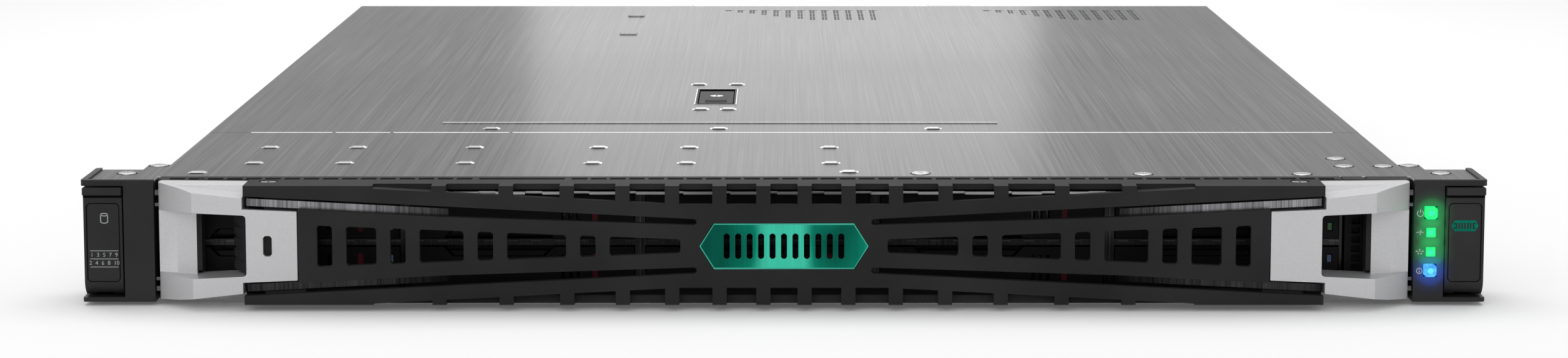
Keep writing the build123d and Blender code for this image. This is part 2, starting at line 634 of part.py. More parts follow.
# Bezel. Half-widths and heights are read on its front plane; it is symmetric about
# the middle plane and about the height BEZEL_MID_Z.
FRONT_Y = -BEZEL_REACH
SKIN_BACK_Y = FRONT_Y + BEZEL_SKIN
HANDLE_OUTER_X = CHASSIS_HALF - BEZEL_INSET
PLATE_END_X = HANDLE_OUTER_X - ARM_WIDTH
PLATE_START_X = PLATE_END_X - PLATE_WIDTH
BAND_END_X = PLATE_END_X - 0.4
GAP_UPPER = ((BAND_END_X + 1, 39.6), (30.5, 31.75))
GAP_TIP = ((29.8, 31.2), (29.8, 30.2))
GAP_LOWER = ((30.5, 29.7), (114.6, 32.4), (PLATE_START_X - 0.5, 35.0), (BAND_END_X + 1, 35.5))
TOP_WINDOW_WIDTHS = (10.1, 11.3, 12.0, 14.1, 15.9, 18.0, 20.1)
TOP_WINDOW_HALF = 4.6
TOP_BAR = 4.85
TOP_WINDOW_FLAT_Z = 36.7
TOP_WINDOW_RISE_FROM = 35.5
TOP_WINDOW_SLOPE = 0.0523
TOP_WINDOW_DEEP = 6.0
LOW_WINDOW_DEEP = 4.0
MID_WINDOW_WIDTHS = (24.1, 5.3, 20.1, 5.3, 15.0, 5.2, 10.3, 5.2)
MID_WINDOW_START = 35.3
MID_BAR = 4.75
MID_WINDOW_HALF_AT_ZERO = 1.06
MID_WINDOW_SLOPE = 0.038
WINDOW_CORNER = 0.7
BACKING_X = (PLATE_START_X - 2.3, PLATE_START_X + 11.6)
BACKING_BACK_Y = FRONT_Y + 6.1
STRIP_THICK = 1.0
STRIP_DROP = 1.1
BADGE_THICK = 1.0
BADGE_POINT = 5.0
BADGE_SLOTS = 11
BADGE_SLOT_PITCH = 3.9
BADGE_SLOT = (2.0, 8.6)
HANDLE_SKIN = 2.4
HANDLE_FRONT_X = HANDLE_OUTER_X - 13.2
HANDLE_SIDE_Y = FRONT_Y + 12.9
HANDLE_TOP = 43.0
HANDLE_SHOULDER_Z = 42.2
ARM_LOW_Z = (32.9, 33.7, 33.1)
PLATE_TOP_Z = (34.2, 35.0)
OPENING_CORNER = 1.1
SCOOP_Y = (-12.1, -13.2, -13.6)
SCOOP_X = (HANDLE_OUTER_X, HANDLE_OUTER_X - 6.3, HANDLE_OUTER_X - 13.1)
SCOOP_WALL = 2.2
RAIL_END_X = EAR_INNER_X - 0.9
RAIL_THICK = 1.9
RAIL_SLOT_Y = (BEZEL_BACK_Y + 0.5, BEZEL_BACK_Y + 4.0)
RAIL_FIRST_X = -211.7
RAIL_LAST_X = 191.0
RAIL_NOTCHES = ((192.2, 0.4), (199.9, 1.2))
RAIL_NOTCH_DEEP = 0.5
LONG_SLOT_X = (-105.0, -75.5)
POST_WIDTH = 1.8
POST_X = (SCOOP_X[2] - POST_WIDTH, SCOOP_X[2])
POST_BACK_Y = BEZEL_BACK_Y + 2.0
SCREW_PLACE = (PLATE_START_X + 11.0, -12.8)
SCREW_WELL = (3.3, 0.8)
SCREW_HEAD = (2.7, 0.6)
HOOKS = ((39.0, 1.6), (34.9, 1.1), (9.2, 1.1), (5.8, 1.6))
HOOK_Y = (HANDLE_SIDE_Y + 0.1, HANDLE_SIDE_Y + 2.1)
LATCH_TRAVEL = 3.0
PAD_FRONT_X = PLATE_END_X - 1.1
PAD_REAR_X = PAD_FRONT_X + 5.7
PAD_Y = (FRONT_Y + HANDLE_SKIN + 0.4, HANDLE_SIDE_Y + 0.1)
PAD_Z = (12.7, 32.1)
PAD_THICK = 2.4
PAD_GROOVES = 4
STEM_Z = (20.4, 24.4)
STEM_Y = (-17.0, -12.6)
STEM_END_X = PLATE_START_X + 7.7
GUIDE_X = (STEM_END_X + 0.9, BACKING_X[1])
GUIDE_WALL = 2.0


def four_ways(points):
    """An outline in the upper right quarter and its mirror images."""
    for side in (1, -1):
        yield [(side * x, z) for x, z in points]
        yield [(side * x, flipped(z)) for x, z in points]


def flipped(z):
    """The height as far below the bezel's middle as z is above it."""
    return 2 * BEZEL_MID_Z - z


def underneath(shape):
    """The mirror image of a shape about the bezel's middle height."""
    return mirror(shape, about=Plane(origin=(0, 0, BEZEL_MID_Z), z_dir=(0, 0, 1)))


def cut_corners(x, z, size):
    """Outline between two upright sides, z as (low, high) at each, with cut corners."""
    left, right = x
    (low_left, high_left), (low_right, high_right) = z
    return [(left, low_left + size), (left + size, low_left), (right - size, low_right),
            (right, low_right + size), (right, high_right - size), (right - size, high_right),
            (left + size, high_left), (left, high_left - size)]


def top_window_z(x):
    return TOP_WINDOW_FLAT_Z + TOP_WINDOW_SLOPE * max(0, x - TOP_WINDOW_RISE_FROM)


def mid_window_half(x):
    return MID_WINDOW_HALF_AT_ZERO + MID_WINDOW_SLOPE * x


def spans(start, widths, bar, limit):
    """Inner and outer X of a row of windows with a bar between each two, up to a limit."""
    for width in widths:
        if start + width + bar < limit:
            yield start, start + width
        start += width + bar


def top_windows():
    """Notches over the front upper edge and, less deep, over the lower one."""
    above = BEZEL_TOP + 1
    upper_y = (FRONT_Y - 1, FRONT_Y + TOP_WINDOW_DEEP)
    lower_y = (FRONT_Y - 1, FRONT_Y + LOW_WINDOW_DEEP)
    row = [(-TOP_WINDOW_HALF, TOP_WINDOW_HALF)]
    for inner, outer in spans(TOP_WINDOW_HALF + TOP_BAR, TOP_WINDOW_WIDTHS, TOP_BAR, BAND_END_X):
        row += [(inner, outer), (-outer, -inner)]
    cuts = []
    for left, right in row:
        outline = [(left, top_window_z(abs(left))), (right, top_window_z(abs(right))),
                   (right, above), (left, above)]
        cuts.append(panel(outline, upper_y))
        cuts.append(panel([(x, flipped(z)) for x, z in outline], lower_y))
    return cuts


def mid_windows():
    """Tapering row of windows along the middle band."""
    cuts = []
    for inner, outer in spans(MID_WINDOW_START, MID_WINDOW_WIDTHS, MID_BAR, PLATE_START_X):
        low, high = mid_window_half(inner), mid_window_half(outer)
        heights = ((BEZEL_MID_Z - low, BEZEL_MID_Z + low), (BEZEL_MID_Z - high, BEZEL_MID_Z + high))
        outline = cut_corners((inner, outer), heights, WINDOW_CORNER)
        cuts += both_sides(panel(outline, (FRONT_Y - 1, SKIN_BACK_Y + 1)))
    return cuts


def backing():
    """Post behind each end of the grille that the end piece's plate is fixed to."""
    plate_z = (flipped(PLATE_TOP_Z[0]), PLATE_TOP_Z[0])
    front = block(BACKING_X, (FRONT_Y + HANDLE_SKIN, BACKING_BACK_Y), plate_z)
    post_y = (SKIN_BACK_Y + STRIP_THICK + 0.1, BACKING_BACK_Y)
    return front + block(BACKING_X, post_y, (BEZEL_BOTTOM + BEZEL_WALL, BEZEL_TOP - BEZEL_WALL))


def latch_guide():
    """Eye behind the left post in which the latch's stem slides."""
    wall_z = (STEM_Z[0] - GUIDE_WALL, STEM_Z[1] + GUIDE_WALL)
    guide = block(GUIDE_X, (BACKING_BACK_Y, STEM_Y[1] + GUIDE_WALL), wall_z)
    eye_y = (STEM_Y[0] - GAP, STEM_Y[1] + GAP)
    eye_z = (STEM_Z[0] - GAP, STEM_Z[1] + GAP)
    return other_side(guide - block((GUIDE_X[0] - 1, GUIDE_X[1] + 1), eye_y, eye_z))


def bezel_frame():
    """Moulded grille: two slanted bands that meet a middle band at the badge."""
    across = (-BAND_END_X, BAND_END_X)
    frame = block(across, (FRONT_Y, SKIN_BACK_Y), (BEZEL_BOTTOM, BEZEL_TOP))
    flange_y = (SKIN_BACK_Y, BEZEL_BACK_Y)
    frame += block(across, flange_y, (BEZEL_TOP - BEZEL_WALL, BEZEL_TOP))
    frame += block(across, flange_y, (BEZEL_BOTTOM, BEZEL_BOTTOM + BEZEL_LEDGE))
    outline = list(GAP_UPPER) + list(GAP_TIP) + list(GAP_LOWER)
    for points in four_ways(outline):
        frame -= panel(points, (FRONT_Y - 1, SKIN_BACK_Y + 0.01))
    bay_x = (PLATE_START_X - 0.3, BAND_END_X + 1)
    bay_z = (flipped(GAP_LOWER[-1][1]), GAP_LOWER[-1][1])
    for bay in both_sides(block(bay_x, (FRONT_Y - 1, SKIN_BACK_Y), bay_z)):
        frame -= bay
    for cut in top_windows() + mid_windows():
        frame -= cut
    for post in both_sides(backing()):
        frame += post
    frame += latch_guide()
    radius, deep = SCREW_WELL
    for well in both_sides(rod_z(*SCREW_PLACE, (BEZEL_TOP - deep, BEZEL_TOP + 1), radius)):
        frame -= well
    frame -= panel(badge_outline(), (FRONT_Y - 1, FRONT_Y + BADGE_THICK))
    slots_half = (BADGE_SLOTS - 1) / 2 * BADGE_SLOT_PITCH + BADGE_SLOT[0]
    slot_half_z = BADGE_SLOT[1] / 2 + 0.6
    slot_z = (BEZEL_MID_Z - slot_half_z, BEZEL_MID_Z + slot_half_z)
    return frame - block((-slots_half, slots_half), (FRONT_Y - 1, SKIN_BACK_Y + 1), slot_z)


def badge_outline():
    shoulder = BADGE_HALF - BADGE_POINT
    return [(-BADGE_HALF, BEZEL_MID_Z), (-shoulder, BADGE_Z[1]), (shoulder, BADGE_Z[1]),
            (BADGE_HALF, BEZEL_MID_Z), (shoulder, BADGE_Z[0]), (-shoulder, BADGE_Z[0])]


def bezel_badge():
    """Plain plate with pointed ends and a row of upright air slots."""
    badge = panel(badge_outline(), (FRONT_Y, FRONT_Y + BADGE_THICK))
    badge = chamfer(badge.faces().sort_by(Axis.Y)[0].edges(), 0.4)
    width, height = BADGE_SLOT
    slot_z = (BEZEL_MID_Z - height / 2, BEZEL_MID_Z + height / 2)
    for index in range(BADGE_SLOTS):
        left = (index - (BADGE_SLOTS - 1) / 2) * BADGE_SLOT_PITCH - width / 2
        outline = cut_corners((left, left + width), (slot_z, slot_z), width * 0.3)
        badge -= panel(outline, (FRONT_Y - 1, SKIN_BACK_Y))
    return badge


def handle_outline():
    """Front view of an end piece: a plate and two arms round the finger opening."""
    edge = PLATE_END_X - 1.2
    corner = OPENING_CORNER
    upper = [(PLATE_START_X, PLATE_TOP_Z[0]), (PLATE_END_X, PLATE_TOP_Z[1]), (PLATE_END_X, HANDLE_TOP),
             (HANDLE_OUTER_X, HANDLE_TOP), (HANDLE_OUTER_X, ARM_LOW_Z[2]), (HANDLE_FRONT_X, ARM_LOW_Z[1]),
             (edge + corner, ARM_LOW_Z[0]), (edge + corner * 0.3, ARM_LOW_Z[0] - corner * 0.3),
             (edge, ARM_LOW_Z[0] - corner)]
    return upper + [(x, flipped(z)) for x, z in reversed(upper)]


def arm_cuts():
    """What the sloping facets take off an upper arm: a ramp with its wall, and the top."""
    tip = (HANDLE_OUTER_X - 4.7, HANDLE_SIDE_Y - 3.6, HANDLE_SHOULDER_Z)
    inner_top = (PLATE_END_X + 0.9, -14.0, HANDLE_SHOULDER_Z)
    crease = (PLATE_END_X - 0.2, -16.5, 39.5)
    front_left = (PLATE_END_X, FRONT_Y, 38.8)
    front_right = (HANDLE_FRONT_X, FRONT_Y, 40.7)
    rear = (HANDLE_OUTER_X - 0.8, BEZEL_BACK_Y, HANDLE_TOP)
    ramp = beyond(front_left, front_right, crease) & beyond(crease, tip, inner_top)
    return [ramp, beyond(inner_top, tip, rear)]


def arm_pocket():
    """Hollow of an upper arm, open to the rear."""
    skin = HANDLE_SKIN
    plan = [(PLATE_END_X + skin, FRONT_Y + skin), (HANDLE_FRONT_X - 1, FRONT_Y + skin),
            (HANDLE_OUTER_X - 1.3 * skin, HANDLE_SIDE_Y), (HANDLE_OUTER_X - 1.3 * skin, 0),
            (PLATE_END_X + skin, 0)]
    return slab(plan, (ARM_LOW_Z[1] + 1.6, front_ramp_low()))


def front_ramp_low():
    """Roof height of the arm's pocket, under the lowest part of the ramp."""
    return 38.8 - 1.2


def bezel_handle(with_security_slot):
    """Silver end piece: plate, two arms with sloping facets, and a scoop wall between them."""
    back = BEZEL_BACK_Y - GAP
    plan = [(PLATE_START_X, FRONT_Y), (HANDLE_FRONT_X, FRONT_Y), (HANDLE_OUTER_X, HANDLE_SIDE_Y),
            (HANDLE_OUTER_X, HANDLE_SIDE_Y + 2.2), (HANDLE_OUTER_X - 0.8, back), (PLATE_END_X, back),
            (PLATE_END_X, FRONT_Y + HANDLE_SKIN), (PLATE_START_X, FRONT_Y + HANDLE_SKIN)]
    whole_z = (flipped(HANDLE_TOP), HANDLE_TOP)
    piece = slab(plan, whole_z) & panel(handle_outline(), (FRONT_Y - 1, 0))
    for cut in arm_cuts() + [arm_pocket()]:
        piece = piece - cut - underneath(cut)
    scoop = [(x, y) for x, y in zip(SCOOP_X, SCOOP_Y)]
    scoop += [(SCOOP_X[2], SCOOP_Y[2] + SCOOP_WALL), (SCOOP_X[1], SCOOP_Y[1] + SCOOP_WALL),
              (HANDLE_OUTER_X - 0.8, back)]
    piece += slab(scoop, (flipped(ARM_LOW_Z[1]), ARM_LOW_Z[1]))
    if with_security_slot:
        half_x, half_z = SECURITY_SLOT[0] / 2, SECURITY_SLOT[1] / 2
        middle = PLATE_END_X - SECURITY_SLOT_INSET
        slot_z = (BEZEL_MID_Z - half_z, BEZEL_MID_Z + half_z)
        outline = cut_corners((middle - half_x, middle + half_x), (slot_z, slot_z), half_x * 0.5)
        piece -= panel(outline, (FRONT_Y - 1, FRONT_Y + HANDLE_SKIN + 1))
    return piece


def accent_strips():
    """Brushed strips behind the outer part of each slanted gap."""
    inner = BAND_END_X - 0.8 - STRIP_LENGTH
    outer = BAND_END_X - 0.8
    rise = (GAP_UPPER[0][1] - GAP_UPPER[1][1]) / (GAP_UPPER[0][0] - GAP_UPPER[1][0])
    outline = []
    for x, drop in ((outer, 0), (inner, 0), (inner, STRIP_HEIGHT), (outer, STRIP_HEIGHT)):
        z = GAP_UPPER[1][1] + rise * (x - GAP_UPPER[1][0]) - STRIP_DROP
        outline.append((x, z - drop))
    strip_y = (SKIN_BACK_Y, SKIN_BACK_Y + STRIP_THICK)
    return [panel(points, strip_y) for points in four_ways(outline)]


def bezel_rails():
    """Slotted strips that close the bezel towards the chassis, tied by four uprights."""
    across = (-RAIL_END_X, RAIL_END_X)
    rail_y = (BEZEL_BACK_Y, RAIL_BACK_Y)
    top = block(across, rail_y, (BEZEL_TOP - RAIL_THICK, BEZEL_TOP))
    bottom = block(across, rail_y, (BEZEL_BOTTOM, BEZEL_BOTTOM + RAIL_THICK))
    cut_z = (-1, EAR_TOP + 1)
    count = int((RAIL_LAST_X - RAIL_FIRST_X) / RAIL_SLOT_PITCH)
    lefts = [RAIL_FIRST_X + index * RAIL_SLOT_PITCH for index in range(count)]
    free = [x for x in lefts if x > LONG_SLOT_X[1] or x + RAIL_SLOT_WIDTH < LONG_SLOT_X[0]]
    top -= [block((x, x + RAIL_SLOT_WIDTH), RAIL_SLOT_Y, cut_z) for x in free]
    top -= block(LONG_SLOT_X, RAIL_SLOT_Y, cut_z)
    for x, width in RAIL_NOTCHES:
        notch_z = (BEZEL_TOP - RAIL_NOTCH_DEEP, EAR_TOP + 1)
        top -= block((x, x + width), (BEZEL_BACK_Y - 1, 0), notch_z)
    wide = RAIL_SLOT_WIDTH + 2 * RAIL_SLOT_PITCH
    bottom -= [block((x, x + wide), RAIL_SLOT_Y, cut_z) for x in lefts[::3]]
    upright = block(POST_X, (BEZEL_BACK_Y, POST_BACK_Y), (BEZEL_BOTTOM, BEZEL_TOP))
    rib_z = (flipped(ARM_LOW_Z[0]) + GAP, ARM_LOW_Z[0] - GAP)
    upright += block(POST_X, (SCOOP_Y[2], BEZEL_BACK_Y), rib_z)
    return top + bottom + both_sides(upright)


def bezel_latch():
    """Sliding catch in the left finger opening: slanted pad, stem and hook."""
    pad = slab([(PAD_FRONT_X, PAD_Y[0]), (PAD_REAR_X, PAD_Y[1]), (PAD_REAR_X - PAD_THICK, PAD_Y[1]),
                (PAD_FRONT_X - PAD_THICK, PAD_Y[0])], PAD_Z)
    pitch = (PAD_Z[1] - PAD_Z[0]) / (PAD_GROOVES + 1)
    for step in range(PAD_GROOVES):
        low = PAD_Z[0] + (step + 1) * pitch - 0.6
        groove = slab([(PAD_FRONT_X - 0.5, PAD_Y[0] - 1), (PAD_REAR_X - 0.5, PAD_Y[1]),
                       (PAD_REAR_X + 1, PAD_Y[1]), (PAD_FRONT_X + 1, PAD_Y[0] - 1)], (low, low + 1.2))
        pad -= groove
    mid_x = (PAD_FRONT_X + PAD_REAR_X) / 2 - PAD_THICK / 2
    latch = pad + block((STEM_END_X, mid_x), STEM_Y, STEM_Z)
    latch += block((STEM_END_X - 2, STEM_END_X), STEM_Y, (STEM_Z[0] - 3, STEM_Z[1] + 3))
    return other_side(latch)


def bezel_screws():
    radius, height = SCREW_HEAD
    low = BEZEL_TOP - SCREW_WELL[1]
    head = rod_z(*SCREW_PLACE, (low, low + height), radius)
    x, y = SCREW_PLACE
    for size_x, size_y in ((1.5, 0.35), (0.35, 1.5)):
        head -= block((x - size_x, x + size_x), (y - size_y, y + size_y), (low + height / 2, low + 1))
    return both_sides(head)


def bezel_hooks():
    """Small catches in the gap between each end piece and its ear."""
    x = (HANDLE_OUTER_X, EAR_INNER_X - 0.4)
    hooks = [block(x, HOOK_Y, (z - tall / 2, z + tall / 2)) for z, tall in HOOKS]
    return hooks + [other_side(hook) for hook in hooks]


def write_bezel():
    save("bezel_frame", bezel_frame())
    save("bezel_badge", bezel_badge())
    save("bezel_handle_right", bezel_handle(False))
    save("bezel_handle_left", other_side(bezel_handle(True)))
    save("bezel_accent_strips", *accent_strips())
    save("bezel_rails", bezel_rails())
    save("bezel_latch", bezel_latch())
    save("bezel_screws", *bezel_screws())
    save("bezel_hooks", *bezel_hooks())


# Drives and their cage
CAGE_FLOOR_Z = (WALL, WALL + CAGE_SHEET)
DRIVE_LEFT_X = DRIVE_SIDE_INSET - INNER_HALF
PORT_STRIP_ROOM = 15.0
DRIVE_ROOM = 2 * INNER_HALF - DRIVE_SIDE_INSET - PORT_STRIP_ROOM
DRIVE_COLUMNS = int(DRIVE_ROOM / DRIVE_PITCH)
DRIVE_RIGHT_X = DRIVE_LEFT_X + DRIVE_COLUMNS * DRIVE_PITCH
DIVIDER_LEFT = 3.0
DIVIDER_RIGHT = 0.4
SHELF_Z = (FIRST_ROW_Z + CARRIER_HEIGHT + 0.5, FIRST_ROW_Z + ROW_PITCH - GAP)
CAGE_TOP_LOW = FIRST_ROW_Z + ROW_PITCH + CARRIER_HEIGHT + 0.4
CAGE_NOTCH = (6.0, 1.5)
CAGE_NOTCH_PITCH = 16.3
RUNNER_WIDTH = 4.0
RUNNER_INSET = 1.5
DISK_SETBACK = 10.0
FACE_POCKET_DEEP = 5.0
GRIP_FOOT = (12.0, 50.3)
GRIP_HEAD = (15.3, 47.0)
GRIP_HEIGHT = 3.4
LEVER_SETBACK = 0.6
LEVER_BAND = (1.4, 3.2)
TAB_OFFSET = (63.6, 65.6)
TAB_BAND = (2.3, 11.8)
LAMP_OFFSET = (74.2, 76.1)
LAMP_BAND = (2.6, 5.6)
LAMP_SUNK = 0.6
AIR_SLOT_OFFSETS = (53.0, 55.6, 58.2)
AIR_SLOT_WIDTH = 1.2
AIR_SLOT_BAND = (3.0, 12.0)
BACKPLANE_THICK = 2.4
BACKPLANE_HOLE = (46.0, 7.5)
BACKPLANE_PLUG = (42.0, 4.0)
PORT_STRIP_X = (DRIVE_RIGHT_X - 1.2, INNER_HALF - 1.7)
PORT_STRIP_HOLES = 6
PORT_STRIP_HOLE = (2.9, 2.2)
PORT_STRIP_FIRST_Z = 9.9
PORT_STRIP_PITCH = 3.25


def bay_corners():
    """Left edge, row-boundary height and direction away from it, for each drive bay."""
    lower_top = FIRST_ROW_Z + CARRIER_HEIGHT
    upper_low = FIRST_ROW_Z + ROW_PITCH
    for column in range(DRIVE_COLUMNS):
        left = DRIVE_LEFT_X + column * DRIVE_PITCH
        yield left, lower_top, -1
        yield left, upper_low, 1


def reach(edge, way, band):
    """Heights of a band measured from the row boundary."""
    ends = (edge + way * band[0], edge + way * band[1])
    return min(ends), max(ends)


def carrier_x(left):
    return left + DIVIDER_RIGHT + GAP, left + DRIVE_PITCH - DIVIDER_LEFT - GAP


def drive_cage():
    """Floor, middle shelf, notched top and upright dividers, with runners under the carriers."""
    wide = (DRIVE_LEFT_X - DIVIDER_RIGHT, DRIVE_RIGHT_X - DIVIDER_LEFT + 1)
    deep = (CARRIER_FRONT_Y + 1, CARRIER_FRONT_Y + CARRIER_LENGTH)
    top_z = (CAGE_TOP_LOW, CAGE_TOP_LOW + CAGE_SHEET)
    cage = block(wide, deep, CAGE_FLOOR_Z) + block(wide, deep, SHELF_Z) + block(wide, deep, top_z)
    upright_z = (CAGE_FLOOR_Z[0], top_z[1])
    cage += block((wide[0], wide[0] + 2 * DIVIDER_RIGHT), deep, upright_z)
    cage += block((wide[1] - 1, wide[1]), deep, upright_z)
    for column in range(1, DRIVE_COLUMNS):
        x = DRIVE_LEFT_X + column * DRIVE_PITCH
        cage += block((x - DIVIDER_LEFT, x + DIVIDER_RIGHT), deep, upright_z)
    runner_z = (CAGE_FLOOR_Z[1], FIRST_ROW_Z)
    for column in range(DRIVE_COLUMNS):
        left, far = carrier_x(DRIVE_LEFT_X + column * DRIVE_PITCH)
        for x in (left + RUNNER_INSET, far - RUNNER_INSET - RUNNER_WIDTH):
            cage += block((x, x + RUNNER_WIDTH), deep, runner_z)
    width, depth = CAGE_NOTCH
    for index in range(int((wide[1] - wide[0]) / CAGE_NOTCH_PITCH)):
        x = wide[0] + CAGE_NOTCH_PITCH / 2 + index * CAGE_NOTCH_PITCH
        cage -= block((x, x + width), (deep[0] - 1, deep[0] + depth), (top_z[0] - 0.1, top_z[1] + 1))
    return cage


def drive_carrier(left, edge, way):
    """Front face with a finger grip, air slots and a lamp window, and two side rails."""
    x = carrier_x(left)
    z = reach(edge, way, (0, CARRIER_HEIGHT))
    face_y = (CARRIER_FRONT_Y, CARRIER_FRONT_Y + CARRIER_FACE_THICK)
    pocket_y = (face_y[0] - 1, face_y[0] + FACE_POCKET_DEEP)
    carrier = block(x, face_y, z)
    head = edge + way * GRIP_HEIGHT
    foot = edge - way
    grip = [(left + GRIP_FOOT[0] - 1, foot), (left + GRIP_HEAD[0], head), (left + GRIP_HEAD[1], head),
            (left + GRIP_FOOT[1] + 1, foot)]
    carrier -= panel(grip, pocket_y)
    tab_x = (left + TAB_OFFSET[0], left + TAB_OFFSET[1])
    carrier -= block(tab_x, pocket_y, reach(edge, way, TAB_BAND))
    lamp_x = (left + LAMP_OFFSET[0], left + LAMP_OFFSET[1])
    carrier -= block(lamp_x, (face_y[0] - 1, face_y[0] + LAMP_SUNK), reach(edge, way, LAMP_BAND))
    for offset in AIR_SLOT_OFFSETS:
        slot_x = (left + offset, left + offset + AIR_SLOT_WIDTH)
        carrier -= block(slot_x, (face_y[0] - 1, face_y[1] + 1), reach(edge, way, AIR_SLOT_BAND))
    rail_y = (face_y[1], CARRIER_FRONT_Y + CARRIER_LENGTH)
    carrier += block((x[0], x[0] + CARRIER_RAIL), rail_y, z)
    carrier += block((x[1] - CARRIER_RAIL, x[1]), rail_y, z)
    return carrier


def disk_y():
    front = CARRIER_FRONT_Y + CARRIER_FACE_THICK + DISK_SETBACK
    return front, front + DRIVE_BODY_LENGTH


def drive_disk(left, edge, way):
    """The drive itself, resting between the carrier's rails."""
    middle = sum(carrier_x(left)) / 2
    margin = (CARRIER_HEIGHT - DRIVE_BODY_HEIGHT) / 2
    half = DRIVE_BODY_WIDTH / 2
    z = reach(edge, way, (margin, margin + DRIVE_BODY_HEIGHT))
    return block((middle - half, middle + half), disk_y(), z)


def drive_lever(left, edge, way):
    """Ejector lever lying behind the finger grip, with slanted ends."""
    low, high = (edge + way * height for height in LEVER_BAND)
    slant = (GRIP_HEAD[0] - GRIP_FOOT[0]) / GRIP_HEIGHT * (LEVER_BAND[1] - LEVER_BAND[0])
    start, end = left + GRIP_HEAD[0] + 0.5, left + GRIP_HEAD[1] - 0.5
    outline = [(start - slant, low), (start, high), (end, high), (end + slant, low)]
    return panel(outline, (CARRIER_FRONT_Y + LEVER_SETBACK, CARRIER_FRONT_Y + FACE_POCKET_DEEP))


def drive_button(left, edge, way):
    """Upright release tab in the carrier's face."""
    x = (left + TAB_OFFSET[0], left + TAB_OFFSET[1])
    y = (CARRIER_FRONT_Y + GAP, CARRIER_FRONT_Y + FACE_POCKET_DEEP)
    return block(x, y, reach(edge, way, TAB_BAND))


def drive_backplane():
    """Board behind the drives with an air opening and a connector for each bay."""
    front = CARRIER_FRONT_Y + CARRIER_LENGTH + GAP
    y = (front, front + BACKPLANE_THICK)
    board = block((DRIVE_LEFT_X, DRIVE_RIGHT_X), y, (WALL, WALL_TOP - 1))
    plugs = []
    for left, edge, way in bay_corners():
        middle = sum(carrier_x(left)) / 2
        low = reach(edge, way, (0, CARRIER_HEIGHT))[0]
        half = BACKPLANE_HOLE[0] / 2
        hole_z = (low + CARRIER_HEIGHT - BACKPLANE_HOLE[1] - 1, low + CARRIER_HEIGHT - 1)
        board -= block((middle - half, middle + half), (y[0] - 1, y[1] + 1), hole_z)
        half = BACKPLANE_PLUG[0] / 2
        plug_z = (low + 1.5, low + 1.5 + BACKPLANE_PLUG[1])
        plugs.append(block((middle - half, middle + half), (disk_y()[1], y[0]), plug_z))
    return [board] + plugs


def front_port_strip():
    """Narrow block at the right of the drives with a column of small holes."""
    y = (CARRIER_FRONT_Y, CARRIER_FRONT_Y + CARRIER_FACE_THICK)
    strip = block(PORT_STRIP_X, y, (WALL, WALL_TOP - 1))
    width, height = PORT_STRIP_HOLE
    x = (PORT_STRIP_X[0] + 2.4, PORT_STRIP_X[0] + 2.4 + width)
    for index in range(PORT_STRIP_HOLES):
        low = PORT_STRIP_FIRST_Z + index * PORT_STRIP_PITCH
        strip -= block(x, (y[0] - 1, y[0] + 3), (low, low + height))
    return strip


# Fans
FAN_PITCH = 2 * (INNER_HALF - FAN_SIDE_INSET) / (FAN_COUNT - 1)
FAN_MIDDLE_Z = WALL + FAN_SIZE / 2
FAN_REAR_Y = FAN_FRONT_Y + FAN_DEPTH
FAN_MOTOR_LENGTH = 6.0
FAN_SHAFT_RADIUS = 1.5
FAN_SHAFT_PLAY = 0.05
FAN_ROTOR_Y = (FAN_FRONT_Y + 2.0, FAN_REAR_Y - FAN_MOTOR_LENGTH - 1.0)
FAN_CAP = 3.0
FAN_BLADE_THICK = 1.1
FAN_BLADE_CHORD = 14.0
FAN_BLADE_TURN = 42.0
FAN_STRUT = (3.0, 1.0)


def fan_x(index):
    return (index - (FAN_COUNT - 1) / 2) * FAN_PITCH


def fan_bulkhead():
    """Upright sheet across the tray with a square opening in front of each fan."""
    y = (FAN_FRONT_Y - BULKHEAD_SHEET, FAN_FRONT_Y)
    half = INNER_HALF - 1.6
    sheet = block((-half, half), y, (WALL, WALL_TOP - GAP))
    foot_y = (FAN_FRONT_Y - 8, FAN_FRONT_Y)
    sheet += block((-half, half), foot_y, (WALL, WALL + BULKHEAD_SHEET))
    reach_out = FAN_BORE_RADIUS - 0.9
    window_z = (FAN_MIDDLE_Z - reach_out, FAN_MIDDLE_Z + reach_out)
    for index in range(FAN_COUNT):
        x = (fan_x(index) - reach_out, fan_x(index) + reach_out)
        sheet -= block(x, (y[0] - 1, y[1] + 1), window_z)
    return sheet


def fan_housing(x):
    """Square frame with a round duct; struts at the rear carry the motor and shaft."""
    half = FAN_SIZE / 2
    y = (FAN_FRONT_Y, FAN_REAR_Y)
    frame = block((x - half, x + half), y, (WALL, WALL + FAN_SIZE))
    frame -= rod_y(x, (y[0] - 1, y[1] + 1), FAN_MIDDLE_Z, FAN_BORE_RADIUS)
    deep, half_high = FAN_STRUT
    reach_out = FAN_BORE_RADIUS + 0.5
    strut = block((-reach_out, reach_out), (FAN_REAR_Y - deep, FAN_REAR_Y), (-half_high, half_high))
    for angle in (45, 135):
        frame += Pos(x, 0, FAN_MIDDLE_Z) * Rot(0, angle, 0) * strut
    motor_y = (FAN_REAR_Y - FAN_MOTOR_LENGTH, FAN_REAR_Y)
    frame += rod_y(x, motor_y, FAN_MIDDLE_Z, FAN_HUB_RADIUS)
    return frame + rod_y(x, (FAN_ROTOR_Y[0] + FAN_CAP, motor_y[0] + 1), FAN_MIDDLE_Z, FAN_SHAFT_RADIUS)


def fan_blade():
    """Flat pitched blade from inside the hub towards the duct, upright on the Y axis."""
    tangent = FAN_BLADE_CHORD * 0.5
    tip = ((FAN_BORE_RADIUS - FAN_TIP_PLAY) ** 2 - tangent ** 2) ** 0.5
    root = FAN_HUB_RADIUS - 1.5
    blade = Box(FAN_BLADE_THICK, FAN_BLADE_CHORD, tip - root)
    return Pos(0, sum(FAN_ROTOR_Y) / 2, (tip + root) / 2) * Rot(0, 0, FAN_BLADE_TURN) * blade


